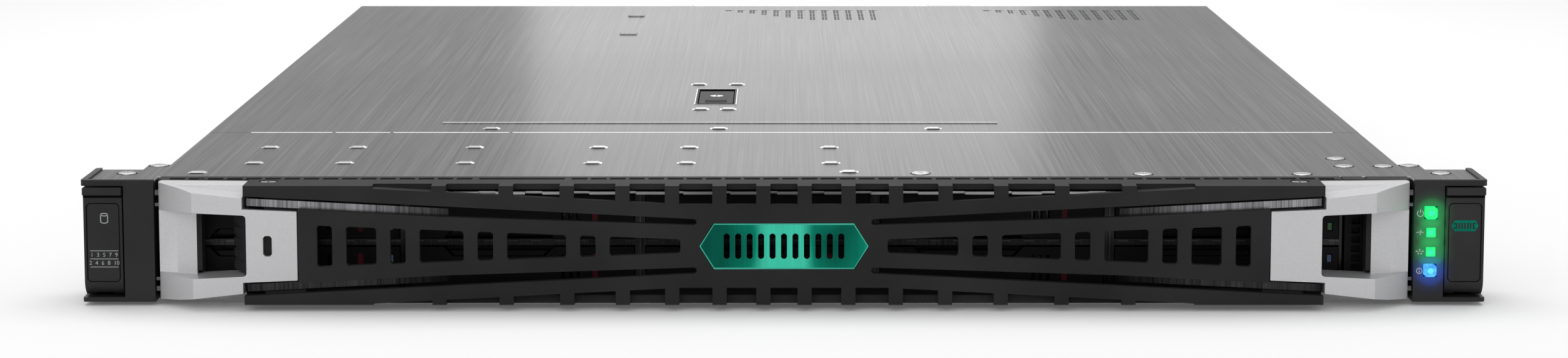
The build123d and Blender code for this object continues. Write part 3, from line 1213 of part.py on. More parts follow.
def fan_rotor(x):
    """Hub with its blades, turning on the housing's shaft."""
    rotor = rod_y(0, FAN_ROTOR_Y, 0, FAN_HUB_RADIUS)
    rotor = chamfer(rotor.faces().sort_by(Axis.Y)[0].edges(), 1.2)
    for index in range(FAN_BLADES):
        rotor += Rot(0, index * 360 / FAN_BLADES, 0) * fan_blade()
    bore_y = (FAN_ROTOR_Y[0] + FAN_CAP - 0.2, FAN_ROTOR_Y[1] + 1)
    rotor -= rod_y(0, bore_y, 0, FAN_SHAFT_RADIUS + FAN_SHAFT_PLAY)
    return Pos(x, 0, FAN_MIDDLE_Z) * rotor


def write_drives_and_fans():
    bays = list(bay_corners())
    save("drive_cage", drive_cage())
    save("drive_carriers", *[drive_carrier(*bay) for bay in bays])
    save("drive_disks", *[drive_disk(*bay) for bay in bays])
    save("drive_levers", *[drive_lever(*bay) for bay in bays])
    save("drive_buttons", *[drive_button(*bay) for bay in bays])
    save("drive_backplane", *drive_backplane())
    save("front_port_strip", front_port_strip())
    save("fan_bulkhead", fan_bulkhead())
    save("fan_housings", *[fan_housing(fan_x(index)) for index in range(FAN_COUNT)])
    for index in range(FAN_COUNT):
        save(f"fan_rotor_{index + 1}", fan_rotor(fan_x(index)))


# Main board and what stands on it
BOARD_TOP = BOARD_Z + BOARD_THICK
PSU_FRONT_Y = LID_DEPTH + 0.5 - PSU_LENGTH
PSU_REAR_Y = PSU_FRONT_Y + PSU_LENGTH
POWER_BOARD_Y = (PSU_FRONT_Y - 6.0, PSU_FRONT_Y - 4.0)
MODULE_CORNER = (MODULE_WINDOW_X[0] - 5.0, BOARD_Y[1] - 107.0)
HEADERS = 6
HEADER = (18.0, 6.0, 8.0)
HEADER_INSETS = (26.0, 4.0)
SINK_Y = BOARD_FRONT_Y + 78.0
PROCESSOR = (76.0, 56.0, 3.4)
SINK_BASE = 6.0
DIMM_SEAT = 2.0
DIMM_Y = (BOARD_FRONT_Y + 68.0, BOARD_FRONT_Y + 68.0 + DIMM_LENGTH)
SOCKET_END = 4.5
SOCKET_END_HEIGHT = 15.0
BAFFLE_SHEET = 1.2
BAFFLE_HALF = DIMM_OFFSET + DIMM_PER_SIDE * DIMM_PITCH
BAFFLE_Y = (DIMM_Y[0] - 8.0, DIMM_Y[1] + 8.5)
BAFFLE_TOP = LID_BOTTOM - 1.2
BAFFLE_WINDOW = (60.0, 20.0)
RISER_Y = (LID_DEPTH - 186.0, LID_DEPTH - 46.0)
RISER_THICK = 1.6
RISER_SLOT = (12.0, 89.0, 7.0)
BRACKET_PLATE = 0.9
BRACKET_LAP = (1.5, 0.9)
BRACKET_SLOT = (5.0, 10.0)
PORT_FACE_Y = LID_DEPTH + 0.4
JACK = (16.0, 13.4, 16.0)
JACK_HOLE = (11.8, 8.0, 12.0)
JACK_WALL = 1.4
JACK_KEY = (4.0, 1.6)
JACK_INSETS = (62.0, 84.0)
VGA_LEFT = PORT_WINDOW_X[0] + 2.0
VGA_SIZE = (31.0, 12.5, 14.0)
VGA_SHELL = (8.2, 6.9, 4.0)
VGA_WALL = 0.7
VGA_RISE = 3.0
VGA_POST = (12.2, 2.4, 2.6)
USB_LEFT = PORT_WINDOW_X[0] + 39.0
USB_SIZE = (14.4, 13.4, 15.0)
USB_MOUTH = (1.0, 5.1, 10.0)
USB_MOUTH_Z = (0.9, 7.4)
USB_TONGUE = (1.7, 1.8, 1.7)
MODULE_JACKS = 4
MODULE_JACK_PITCH = 20.0
MODULE_BOARD_LENGTH = 72.0
MODULE_POST = (8.0, 15.0)
MODULE_FLANGE = 0.9


def dimm_x():
    """Middle of each memory slot, eight on each side of the heat sink."""
    for side in (-1, 1):
        for index in range(DIMM_PER_SIDE):
            yield SINK_X + side * (DIMM_OFFSET + index * DIMM_PITCH)


def memory_module(x):
    low = BOARD_TOP + DIMM_SEAT
    card_x = (x - DIMM_THICK / 2, x + DIMM_THICK / 2)
    return block(card_x, DIMM_Y, (low, low + DIMM_HEIGHT))


def memory_socket(x):
    """Slotted base with an upright latch at each end."""
    half = SOCKET_WIDTH / 2
    ends = (DIMM_Y[0] - SOCKET_END, DIMM_Y[1] + SOCKET_END)
    socket = block((x - half, x + half), ends, (BOARD_TOP, BOARD_TOP + SOCKET_HEIGHT))
    end_z = (BOARD_TOP, BOARD_TOP + SOCKET_END_HEIGHT)
    for along in ((ends[0], DIMM_Y[0] - GAP), (DIMM_Y[1] + GAP, ends[1])):
        socket += block((x - half + 1, x + half - 1), along, end_z)
    return socket - memory_module(x)


def headers():
    """Cable headers along the board's front edge."""
    width, depth, height = HEADER
    inset, front = HEADER_INSETS
    pitch = (BOARD_X[1] - BOARD_X[0] - 2 * inset - width) / (HEADERS - 1)
    y = (BOARD_Y[0] + front, BOARD_Y[0] + front + depth)
    lefts = [BOARD_X[0] + inset + index * pitch for index in range(HEADERS)]
    return [block((x, x + width), y, (BOARD_TOP, BOARD_TOP + height)) for x in lefts]


def motherboard():
    """Board with cut corners for the power supplies and the network module."""
    psu_edge = PSU_AREA_END_X + 2.5
    outline = [(BOARD_X[0], BOARD_Y[0]), (BOARD_X[1], BOARD_Y[0]), (BOARD_X[1], MODULE_CORNER[1]),
               MODULE_CORNER, (MODULE_CORNER[0], BOARD_Y[1]), (psu_edge, BOARD_Y[1]),
               (psu_edge, POWER_BOARD_Y[0] - 3), (BOARD_X[0], POWER_BOARD_Y[0] - 3)]
    board = slab(outline, (BOARD_Z, BOARD_TOP))
    width, depth, height = PROCESSOR
    middle_y = SINK_Y + SINK_SIZE[1] / 2
    processor = block((SINK_X - width / 2, SINK_X + width / 2),
                      (middle_y - depth / 2, middle_y + depth / 2), (BOARD_TOP, BOARD_TOP + height))
    return [board, processor] + [memory_socket(x) for x in dimm_x()] + headers()


def processor_heatsink():
    """Base plate with upright fins along the air flow."""
    half = SINK_SIZE[0] / 2
    y = (SINK_Y, SINK_Y + SINK_SIZE[1])
    low = BOARD_TOP + PROCESSOR[2]
    sink = block((SINK_X - half, SINK_X + half), y, (low, SINK_TOP))
    pitch = (SINK_SIZE[0] - SINK_FIN) / (SINK_FINS - 1)
    gap_z = (low + SINK_BASE, SINK_TOP + 1)
    for index in range(SINK_FINS - 1):
        left = SINK_X - half + SINK_FIN + index * pitch
        sink -= block((left, left + pitch - SINK_FIN), (y[0] - 1, y[1] + 1), gap_z)
    return sink


def air_baffle():
    """Thin cover over heat sink and memory, open to the front and rear."""
    outer = (SINK_X - BAFFLE_HALF, SINK_X + BAFFLE_HALF)
    baffle = block(outer, BAFFLE_Y, (BAFFLE_TOP - BAFFLE_SHEET, BAFFLE_TOP))
    for left in (outer[0], outer[1] - BAFFLE_SHEET):
        baffle += block((left, left + BAFFLE_SHEET), BAFFLE_Y, (BOARD_TOP, BAFFLE_TOP))
    width, inset = BAFFLE_WINDOW
    window_x = (SINK_X - width / 2, SINK_X + width / 2)
    window_y = (SINK_Y + inset, SINK_Y + SINK_SIZE[1] - inset)
    return baffle - block(window_x, window_y, (BAFFLE_TOP - 2, BAFFLE_TOP + 1))


def riser_card():
    """Upright card with a slot connector on each side for the expansion bays."""
    half = RISER_THICK / 2
    card = block((RISER_X - half, RISER_X + half), RISER_Y, (BOARD_TOP, SLOT_WINDOW_Z[1]))
    out, length, height = RISER_SLOT
    slot_y = (RISER_Y[0] + 20, RISER_Y[0] + 20 + length)
    slot_z = (SLOT_WINDOW_Z[0] + 5, SLOT_WINDOW_Z[0] + 5 + height)
    return card + block((RISER_X - out, RISER_X + out), slot_y, slot_z)


def expansion_brackets():
    """Slot covers behind the rear panel, each with a row of upright air slots."""
    plates = []
    y = (TRAY_REAR_Y - BRACKET_PLATE, TRAY_REAR_Y)
    side, above = BRACKET_LAP
    width, pitch = BRACKET_SLOT
    low_z, high_z = SLOT_WINDOW_Z
    slot_z = (low_z + 4, high_z - 4)
    for left, right in SLOT_WINDOWS_X:
        plate = block((left - side, right + side), y, (low_z - above, high_z + above))
        for index in range(int((right - left - pitch / 2) / pitch)):
            low = left + pitch * 0.6 + index * pitch
            plate -= block((low, low + width), (y[0] - 1, y[1] + 1), slot_z)
        plates.append(plate)
    return plates


def jack(left, low):
    """Network socket: square shell with a stepped cavity, open to the rear."""
    width, height, depth = JACK
    shell = block((left, left + width), (PORT_FACE_Y - depth, PORT_FACE_Y), (low, low + height))
    side = (width - JACK_HOLE[0]) / 2
    deep = (PORT_FACE_Y - JACK_HOLE[2], PORT_FACE_Y + 1)
    hole_top = low + JACK_WALL + JACK_HOLE[1]
    shell -= block((left + side, left + side + JACK_HOLE[0]), deep, (low + JACK_WALL, hole_top))
    middle = left + width / 2
    half = JACK_KEY[0] / 2
    return shell - block((middle - half, middle + half), deep, (low + JACK_WALL, hole_top + JACK_KEY[1]))


def usb_stack():
    """Two stacked sockets in one shell, each with its tongue."""
    width, height, depth = USB_SIZE
    stack = block((USB_LEFT, USB_LEFT + width), (PORT_FACE_Y - depth, PORT_FACE_Y),
                  (BOARD_TOP, BOARD_TOP + height))
    wall, mouth, deep = USB_MOUTH
    side, thick, lift = USB_TONGUE
    mouth_x = (USB_LEFT + wall, USB_LEFT + width - wall)
    tongue_x = (USB_LEFT + side, USB_LEFT + width - side)
    for low in (BOARD_TOP + rise for rise in USB_MOUTH_Z):
        stack -= block(mouth_x, (PORT_FACE_Y - deep, PORT_FACE_Y + 1), (low, low + mouth))
        stack += block(tongue_x, (PORT_FACE_Y - deep, PORT_FACE_Y - 0.5), (low + lift, low + lift + thick))
    return stack


def trapezium(middle, height, wall):
    """Outline of the video socket's shell, or of its inside."""
    top, foot, half = (size - wall for size in VGA_SHELL)
    return [(middle - top, height + half), (middle + top, height + half),
            (middle + foot, height - half), (middle - foot, height - half)]


def vga_port():
    """Plate with a raised trapezium shell and two threaded posts."""
    width, height, depth = VGA_SIZE
    y = (PORT_FACE_Y - depth, PORT_FACE_Y - 1)
    port = block((VGA_LEFT, VGA_LEFT + width), y, (BOARD_TOP, BOARD_TOP + height))
    middle_x, middle_z = VGA_LEFT + width / 2, BOARD_TOP + height / 2
    port += panel(trapezium(middle_x, middle_z, 0), (y[1], y[1] + VGA_RISE))
    port -= panel(trapezium(middle_x, middle_z, VGA_WALL), (y[1], y[1] + VGA_RISE + 1))
    out, radius, rise = VGA_POST
    for side in (-1, 1):
        port += rod_y(middle_x + side * out, (y[1], y[1] + rise), middle_z, radius)
    return port


def network_module():
    """Small card in the rear window with a row of sockets and a flange."""
    left = MODULE_WINDOW_X[0] + GAP
    right = MODULE_WINDOW_X[1] - GAP
    card_rear = PORT_FACE_Y - JACK[2] + 2
    card_front = card_rear - MODULE_BOARD_LENGTH
    module = block((left + 2, right - 2), (card_front, card_rear), (BOARD_Z, BOARD_TOP))
    web_y = (LID_DEPTH - MODULE_FLANGE, LID_DEPTH)
    flange = block((left, right), web_y, (PORT_WINDOW_Z[0] + GAP, PORT_WINDOW_Z[1] - GAP))
    for index in range(MODULE_JACKS):
        x = left + 4 + index * MODULE_JACK_PITCH
        module += jack(x, BOARD_Z)
        flange -= block((x + 0.5, x + JACK[0] - 0.5), (web_y[0] - 1, web_y[1] + 1),
                        (BOARD_Z + 0.5, BOARD_Z + JACK[1] - 0.5))
    module += flange
    inset, setback = MODULE_POST
    post = extrude(RegularPolygon(STANDOFF_RADIUS, 6), BOARD_Z - WALL)
    for x in (left + inset, right - inset):
        module += Pos(x, card_front + setback, WALL) * post
    return module


# Power supplies
INLET_X = 20.5
INLET_Z = 21.0
INLET_HOLE = (22.8, 16.2, 13.0)
INLET_PIN = (2.0, 4.0, 10.0)
INLET_PINS = ((-7.0, -2.0), (0.0, 2.0), (7.0, -2.0))
GRILLE_X = 53.5
GRILLE_RADIUS = 16.0
GRILLE_DEEP = 1.6
GRILLE_SLOTS = 9
GRILLE_SLOT = (2.2, 3.6)
STRAP_X = (36.0, 71.0)
STRAP_Z = (15.5, 26.5)
STRAP_THICK = 2.4
STRAP_CORNER = 6.0
PSU_LATCH_X = (8.0, 24.0)
PSU_LATCH_Z = (5.8, 10.2)
PSU_LATCH_REACH = 12.0
PSU_THUMB = (4.0, 2.0)
PLUG_X = (20.0, 54.0)
PLUG_Z = (8.0, 18.0)


def power_board():
    """Upright board with a connector for each power supply."""
    across = (psu_x(0)[0] - 0.5, PSU_AREA_END_X)
    solids = [block(across, POWER_BOARD_Y, (WALL, PSU_HEIGHT - 1.0))]
    for index in range(2):
        x = psu_x(index)[0]
        y = (POWER_BOARD_Y[1], PSU_FRONT_Y - GAP)
        solids.append(block((x + PLUG_X[0], x + PLUG_X[1]), y, PLUG_Z))
    return solids


def inlet(centre):
    """Cavity of the mains inlet with its three flat pins left standing."""
    width, height, deep = INLET_HOLE
    cavity = block((centre - width / 2, centre + width / 2), (PSU_REAR_Y - deep, PSU_REAR_Y + 1),
                   (INLET_Z - height / 2, INLET_Z + height / 2))
    thick, tall, length = INLET_PIN
    pin_y = (PSU_REAR_Y - deep, PSU_REAR_Y - deep + length)
    for x, z in INLET_PINS:
        pin_x = (centre + x - thick / 2, centre + x + thick / 2)
        cavity -= block(pin_x, pin_y, (INLET_Z + z - tall / 2, INLET_Z + z + tall / 2))
    return cavity


def grille(centre):
    """Upright slots inside a round outline."""
    disc = rod_y(centre, (PSU_REAR_Y - GRILLE_DEEP, PSU_REAR_Y + 1), INLET_Z, GRILLE_RADIUS)
    width, pitch = GRILLE_SLOT
    z = (INLET_Z - GRILLE_RADIUS, INLET_Z + GRILLE_RADIUS)
    slots = []
    for index in range(GRILLE_SLOTS):
        low = centre + (index - (GRILLE_SLOTS - 1) / 2) * pitch - width / 2
        slots.append(disc & block((low, low + width), (PSU_REAR_Y - 2, PSU_REAR_Y + 2), z))
    return slots


def strap(left):
    """Bent handle standing on the rear face."""
    y = (PSU_REAR_Y, PSU_REAR_Y + PSU_HANDLE_REACH - 0.5)
    x = (left + STRAP_X[0], left + STRAP_X[1])
    outer = block(x, y, STRAP_Z)
    outer = fillet(outer.faces().sort_by(Axis.Y)[-1].edges().filter_by(Axis.Z), STRAP_CORNER)
    inner = block((x[0] + STRAP_THICK, x[1] - STRAP_THICK), (y[0] - 1, y[1] - STRAP_THICK),
                  (STRAP_Z[0] - 1, STRAP_Z[1] + 1))
    inner = fillet(inner.faces().sort_by(Axis.Y)[-1].edges().filter_by(Axis.Z),
                   STRAP_CORNER - STRAP_THICK)
    return outer - inner


def power_supply(index):
    """Metal case with an inlet, a slotted fan grille and a strap handle at the rear."""
    left, right = psu_x(index)
    z = (WALL + PSU_FLOOR, WALL + PSU_FLOOR + PSU_HEIGHT)
    case = block((left, right), (PSU_FRONT_Y, PSU_REAR_Y), z) - inlet(left + INLET_X)
    case -= grille(left + GRILLE_X)
    case += strap(left)
    slot_x = (left + PSU_LATCH_X[0] - GAP, left + PSU_LATCH_X[1] + PSU_LATCH_TRAVEL + GAP)
    slot_z = (PSU_LATCH_Z[0] - GAP, PSU_LATCH_Z[1] + GAP)
    return case - block(slot_x, (PSU_REAR_Y - PSU_LATCH_REACH, PSU_REAR_Y + 1), slot_z)


def psu_latch(index):
    """Sprung tab that a thumb pushes sideways to free the supply."""
    left = psu_x(index)[0]
    x = (left + PSU_LATCH_X[0], left + PSU_LATCH_X[1])
    width, out = PSU_THUMB
    tab = block(x, (PSU_REAR_Y - PSU_LATCH_REACH + GAP, PSU_REAR_Y + out), PSU_LATCH_Z)
    thumb_y = (PSU_REAR_Y + out, PSU_REAR_Y + PSU_LATCH_REACH)
    return tab + block((x[0], x[0] + width), thumb_y, PSU_LATCH_Z)


def write_boards_and_power():
    save("motherboard", *motherboard())
    save("processor_heatsink", processor_heatsink())
    save("memory_modules", *[memory_module(x) for x in dimm_x()])
    save("air_baffle", air_baffle())
    save("riser_card", riser_card())
    save("expansion_brackets", *expansion_brackets())
    jacks = [jack(PORT_WINDOW_X[0] + inset, BOARD_TOP) for inset in JACK_INSETS]
    save("rear_ports", vga_port(), usb_stack(), *jacks)
    save("network_module", network_module())
    save("power_board", *power_board())
    for index in range(2):
        save(f"psu_{index + 1}", power_supply(index))
        save(f"psu_latch_{index + 1}", psu_latch(index))


os.makedirs("parts", exist_ok=True)
write_chassis()
write_ears()
write_bezel()
write_drives_and_fans()
write_boards_and_power()
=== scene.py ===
import json
import math

import bmesh
import bpy
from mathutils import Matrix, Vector


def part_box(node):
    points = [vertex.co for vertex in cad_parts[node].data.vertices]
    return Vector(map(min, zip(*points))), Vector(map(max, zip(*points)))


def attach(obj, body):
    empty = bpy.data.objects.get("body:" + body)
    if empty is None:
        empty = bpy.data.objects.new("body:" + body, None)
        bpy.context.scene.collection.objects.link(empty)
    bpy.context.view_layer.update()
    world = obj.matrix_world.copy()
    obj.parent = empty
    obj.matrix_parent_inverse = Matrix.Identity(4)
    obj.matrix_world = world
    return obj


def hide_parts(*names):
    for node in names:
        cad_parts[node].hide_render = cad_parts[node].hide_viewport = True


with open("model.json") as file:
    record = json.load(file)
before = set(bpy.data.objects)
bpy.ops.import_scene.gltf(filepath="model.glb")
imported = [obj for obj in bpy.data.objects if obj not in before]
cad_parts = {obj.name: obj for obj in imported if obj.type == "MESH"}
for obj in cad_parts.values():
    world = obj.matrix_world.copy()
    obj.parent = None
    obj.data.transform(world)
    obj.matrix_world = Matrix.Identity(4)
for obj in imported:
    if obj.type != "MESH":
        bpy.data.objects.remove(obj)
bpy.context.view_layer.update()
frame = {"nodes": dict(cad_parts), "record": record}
nodes = frame["nodes"]

# The row frame is in metres. The camera and the drawn details are placed from the front
# edge of the top cover, in millimetres, as the object was measured.
MM = 0.001
EDGE_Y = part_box("front_top_panel")[0][1]
COVER_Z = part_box("front_top_panel")[1][2]
COVER = COVER_Z / MM
COVER_SHEET = 0.8

# Camera, worked out from the photo: image 2500 by 570 pixels.
IMAGE_WIDTH = 2500
FOCAL_PIXELS = 6152.0
SENSOR = 36.0
CAMERA_BACK = 1323.7
CAMERA_UP = 178.6
HORIZON_PIXELS = 833.7
CAMERA_DROP = math.atan(HORIZON_PIXELS / FOCAL_PIXELS)

# Light
WORLD_LIGHT = 0.55
FLOOR_SPAN = (-8.0, 8.0)
FLOOR_GAP = 0.0002
FLOOR_COLOUR = 0.8
FLOOR_SEEN = 0.9
FLOOR_LIFT = 0.09


def at(x, y, z):
    """A point given in millimetres from the middle of the cover's front edge, on the floor."""
    return Vector((x * MM, EDGE_Y + y * MM, z * MM))


# Materials
class Shader:
    """A node material under construction; every colour and bump comes from nodes."""

    def __init__(self, name, metallic=0.0, roughness=0.5, coat=0.0, coat_roughness=0.1,
                 specular=0.5):
        self.material = bpy.data.materials.new(name)
        self.material.use_nodes = True
        self.tree = self.material.node_tree
        self.shader = self.tree.nodes["Principled BSDF"]
        self.shader.inputs["Metallic"].default_value = metallic
        self.shader.inputs["Roughness"].default_value = roughness
        self.shader.inputs["Coat Weight"].default_value = coat
        self.shader.inputs["Coat Roughness"].default_value = coat_roughness
        self.shader.inputs["Specular IOR Level"].default_value = specular
        self.coords = self.add("ShaderNodeTexCoord")

    def add(self, kind, **values):
        node = self.tree.nodes.new(kind)
        for key, value in values.items():
            if key in node.inputs:
                node.inputs[key].default_value = value
            else:
                setattr(node, key, value)
        return node

    def link(self, out, into):
        self.tree.links.new(out, into)

    def scaled(self, scale, rotation=(0, 0, 0)):
        """Object coordinates, stretched."""
        mapping = self.add("ShaderNodeMapping")
        mapping.inputs["Scale"].default_value = scale
        mapping.inputs["Rotation"].default_value = rotation
        self.link(self.coords.outputs["Object"], mapping.inputs["Vector"])
        return mapping.outputs["Vector"]

    def noise(self, scale, detail=2.0, rotation=(0, 0, 0)):
        """Noise whose grain is 1 / scale metres along each axis."""
        noise = self.add("ShaderNodeTexNoise", Scale=1.0, Detail=detail)
        self.link(self.scaled(scale, rotation), noise.inputs["Vector"])
        return noise.outputs["Fac"]

    def place(self):
        """The three object coordinates, in metres."""
        split = self.add("ShaderNodeSeparateXYZ")
        self.link(self.coords.outputs["Object"], split.inputs[0])
        return split.outputs

    def share(self, number, ends, **style):
        """From 0 to 1 as a number goes from the first end to the second."""
        spread = self.add("ShaderNodeMapRange", **style)
        spread.inputs["From Min"].default_value = ends[0]
        spread.inputs["From Max"].default_value = ends[1]
        self.link(number, spread.inputs["Value"])
        return spread.outputs["Result"]

    def ramp(self, factor, stops):
        ramp = self.add("ShaderNodeValToRGB")
        elements = ramp.color_ramp.elements
        while len(elements) < len(stops):
            elements.new(0.5)
        for element, (place, value) in zip(elements, stops):
            element.position = place
            element.color = (*value, 1)
        self.link(factor, ramp.inputs["Fac"])
        return ramp.outputs["Color"]

    def mix(self, factor, first, second, blend="MIX"):
        mix = self.add("ShaderNodeMix", data_type="RGBA", blend_type=blend)
        sockets = (mix.inputs["Factor"], mix.inputs["A"], mix.inputs["B"])
        for value, socket in zip((factor, first, second), sockets):
            if isinstance(value, float):
                socket.default_value = value
            elif isinstance(value, tuple):
                socket.default_value = (*value, 1)
            else:
                self.link(value, socket)
        return mix.outputs["Result"]

    def colour(self, out):
        self.link(out, self.shader.inputs["Base Color"])

    def roughness(self, factor, low, high):
        spread = self.add("ShaderNodeMapRange")
        spread.inputs["To Min"].default_value = low
        spread.inputs["To Max"].default_value = high
        self.link(factor, spread.inputs["Value"])
        self.link(spread.outputs["Result"], self.shader.inputs["Roughness"])

    def bump(self, factor, distance, strength=1.0):
        bump = self.add("ShaderNodeBump", Strength=strength, Distance=distance)
        self.link(factor, bump.inputs["Height"])
        self.link(bump.outputs["Normal"], self.shader.inputs["Normal"])

    def glow(self, colour, strength=1.0):
        self.link(colour, self.shader.inputs["Emission Color"])
        self.shader.inputs["Emission Strength"].default_value = strength


def grey(value):
    return (value, value, value * 1.01)


# Streaks of brushed metal: noise scale along the streak and across it
STREAK_FINE = (9, 2600)
STREAK_WIDE = (5, 1000)
BUMP_METAL = 0.00004
BUMP_PLASTIC = 0.00003
BUMP_PAINT = 0.00002
BUMP_BOARD = 0.00005

# Accent strips, painted highlight and shade; supply handles, black coat: where they change, in
# metres, and to what
STRIP_END_X = (0.114, 0.188)
STRIP_PAINTED_HIGHLIGHT = ((0.0, grey(0.12)), (0.18, grey(0.3)), (0.42, grey(0.9)), (0.86, grey(1.0)),
               (1.0, grey(0.15)))
STRIP_SPLIT_Z = (0.018, 0.027)
STRIP_PAINTED_SHADE = ((0.0, grey(0.14)), (1.0, grey(1.0)))
HANDLE_START_Y = (0.3283, 0.3284)
HANDLE_COAT = ((0.0, grey(1.0)), (1.0, grey(0.07)))


def streaks(along, scale):
    return tuple(scale[0] if axis == along else scale[1] for axis in "XYZ")


def brushed_metal(name, dark, light, along="Y", rough=(0.28, 0.42), aniso=0.5, edge=1.0,
                  cloudy=(6, 0.9), shadow=None):
    """Sheet metal with fine streaks along one axis and slow cloudy variation."""
    made = Shader(name, metallic=1.0)
    streak = made.noise(streaks(along, STREAK_FINE), detail=3.0)
    wide = made.noise(streaks(along, STREAK_WIDE))
    cloud = made.noise((cloudy[0],) * 3)
    grain = made.mix(0.45, streak, wide)
    colour = made.ramp(grain, ((0.34, grey(dark)), (0.66, grey(light))))
    shade = made.ramp(cloud, ((0.35, grey(cloudy[1])), (0.65, grey(1.0))))
    colour = made.mix(1.0, colour, shade, "MULTIPLY")
    # The overlay is painted highlight and shade on the accent strips, and the black coat on the
    # supply handles.
    if shadow:
        colour = made.mix(1.0, colour, shadow(made), "MULTIPLY")
    made.colour(colour)
    made.roughness(grain, *rough)
    made.bump(grain, BUMP_METAL, 0.5)
    made.shader.inputs["Anisotropic"].default_value = aniso
    made.shader.inputs["Specular Tint"].default_value = (edge, edge, edge, 1)
    return made.material


def strip_painted_light(made):
    """Painted highlight on the outer part of the upper strips, painted shade on the lower ones."""
    x, _, z = made.place()
    away = made.add("ShaderNodeMath", operation="ABSOLUTE")
    made.link(x, away.inputs[0])
    along = made.ramp(made.share(away.outputs[0], STRIP_END_X), STRIP_PAINTED_HIGHLIGHT)
    upper = made.ramp(made.share(z, STRIP_SPLIT_Z), STRIP_PAINTED_SHADE)
    return made.mix(1.0, along, upper, "MULTIPLY")


def handle_black_coat(made):
    """Black coat on the strap handle, which starts behind the case's rear face."""
    return made.ramp(made.share(made.place()["Y"], HANDLE_START_Y), HANDLE_COAT)


def plastic_shader(name, base, rough=(0.42, 0.52), specular=0.2):
    """Black or coloured moulding with a fine spark-eroded grain."""
    made = Shader(name, specular=specular)
    fine = made.noise((2200, 2200, 2200), detail=2.0)
    slow = made.noise((25, 25, 25), detail=3.0)
    darker = tuple(value * 0.82 for value in base)
    lighter = tuple(value * 1.15 for value in base)
    made.colour(made.ramp(slow, ((0.35, darker), (0.65, lighter))))
    made.roughness(fine, *rough)
    made.bump(fine, BUMP_PLASTIC, 0.6)
    return made


def moulded_plastic(name, base, **finish):
    return plastic_shader(name, base, **finish).material


def silver_paint(name):
    """Metallic paint: tiny flakes under a thin clear coat."""
    made = Shader(name, metallic=0.5, roughness=0.4, coat=0.2, coat_roughness=0.3)
    flake = made.noise((5200, 5200, 5200), detail=1.0)
    slow = made.noise((18, 18, 18), detail=2.0)
    flakes = made.ramp(flake, ((0.35, grey(0.47)), (0.7, grey(0.59))))
    shade = made.ramp(slow, ((0.3, grey(0.94)), (0.7, grey(1.0))))
    made.colour(made.mix(1.0, flakes, shade, "MULTIPLY"))
    made.roughness(flake, 0.34, 0.48)
    made.bump(flake, BUMP_PAINT, 0.4)
    return made.material


BADGE_SHEEN_GREENS = ((0.3, (0.001, 0.075, 0.05)), (0.5, (0.002, 0.19, 0.12)),
                (0.68, (0.05, 0.55, 0.38)))


def badge_metal(name):
    """Green plate, brushed upright, with a painted sheen of slow lighter and darker stretches along
    it.
    """
    made = Shader(name, metallic=0.95, roughness=0.3)
    streak = made.noise((2400, 60, 40), detail=2.0)
    sheen = made.noise((60, 10, 24), detail=1.0, rotation=(0, 0.35, 0))
    grain = made.ramp(streak, ((0.3, grey(0.85)), (0.7, grey(1.0))))
    made.colour(made.mix(1.0, made.ramp(sheen, BADGE_SHEEN_GREENS), grain, "MULTIPLY"))
    made.roughness(streak, 0.22, 0.4)
    made.bump(streak, BUMP_PAINT, 0.5)
    return made.material


def lit_lens(name, edge, middle):
    """Tinted lens, lit from inside, with a brighter grain of its middle colour."""
    made = Shader(name, roughness=0.35, specular=0.2)
    grain = made.noise((700, 700, 700), detail=1.0)
    unlit = tuple(value * 0.1 for value in edge)
    made.colour(made.ramp(grain, ((0.3, unlit), (0.7, grey(0.01)))))
    made.glow(made.ramp(grain, ((0.35, edge), (0.65, middle))))
    return made.material


def circuit_board(name, base):
    """Solder resist over faint copper tracks."""
    made = Shader(name, roughness=0.35, specular=0.5)
    tracks = made.add("ShaderNodeTexVoronoi", Scale=1.0, distance="CHEBYCHEV")
    made.link(made.scaled((320, 320, 320)), tracks.inputs["Vector"])
    lighter = tuple(min(1, value * 1.7 + 0.01) for value in base)
    made.colour(made.ramp(tracks.outputs["Distance"], ((0.1, lighter), (0.35, base))))
    made.bump(tracks.outputs["Distance"], BUMP_BOARD, 0.4)
    return made.material


def printed_ink(name, colour, light=0.0):
    """Screen-printed ink, slightly uneven; light is what it gives off by itself."""
    made = Shader(name, roughness=0.6, specular=0.2)
    grain = made.noise((1800, 1800, 1800), detail=2.0)
    thin = tuple(value * 0.85 for value in colour)
    ink = made.ramp(grain, ((0.3, thin), (0.7, colour)))
    made.colour(ink)
    if light:
        made.glow(ink, light)
    return made.material


# Lights of the right ear: place in millimetres and colour of the painted glow they spill on the
# plastic
LIGHT_X = 222.3
EAR_FACE_Y = -12.6
SPILL_GREEN = (0.004, 0.2, 0.045)
SPILL_BLUE = (0.008, 0.04, 0.26)
LIGHTS = ((32.0, SPILL_GREEN), (25.3, SPILL_GREEN), (18.6, SPILL_GREEN), (12.0, SPILL_BLUE))
SPILL_REACH = (0.0095, 0.0018)
SPILL_HALFWAY = 0.16
CORE_RADIUS = 1.0
BUTTON_FACE_Y = -13.1
LENS_FACE_Y = -12.85


def plastic_with_painted_glow(name, base):
    """The ear's plastic, with a painted glow of its lamps' light round each of them."""
    made = plastic_shader(name, base, **EAR_FINISH)
    glow = None
    for z, colour in LIGHTS:
        away = made.add("ShaderNodeVectorMath", operation="DISTANCE")
        made.link(made.coords.outputs["Object"], away.inputs[0])
        away.inputs[1].default_value = at(LIGHT_X, EAR_FACE_Y, z)
        fade = made.share(away.outputs["Value"], SPILL_REACH, interpolation_type="SMOOTHERSTEP")
        fainter = tuple(value * SPILL_HALFWAY for value in colour)
        part = made.ramp(fade, ((0.0, grey(0.0)), (0.5, fainter), (1.0, colour)))
        glow = part if glow is None else made.mix(1.0, glow, part, "ADD")
    made.glow(glow)
    return made.material


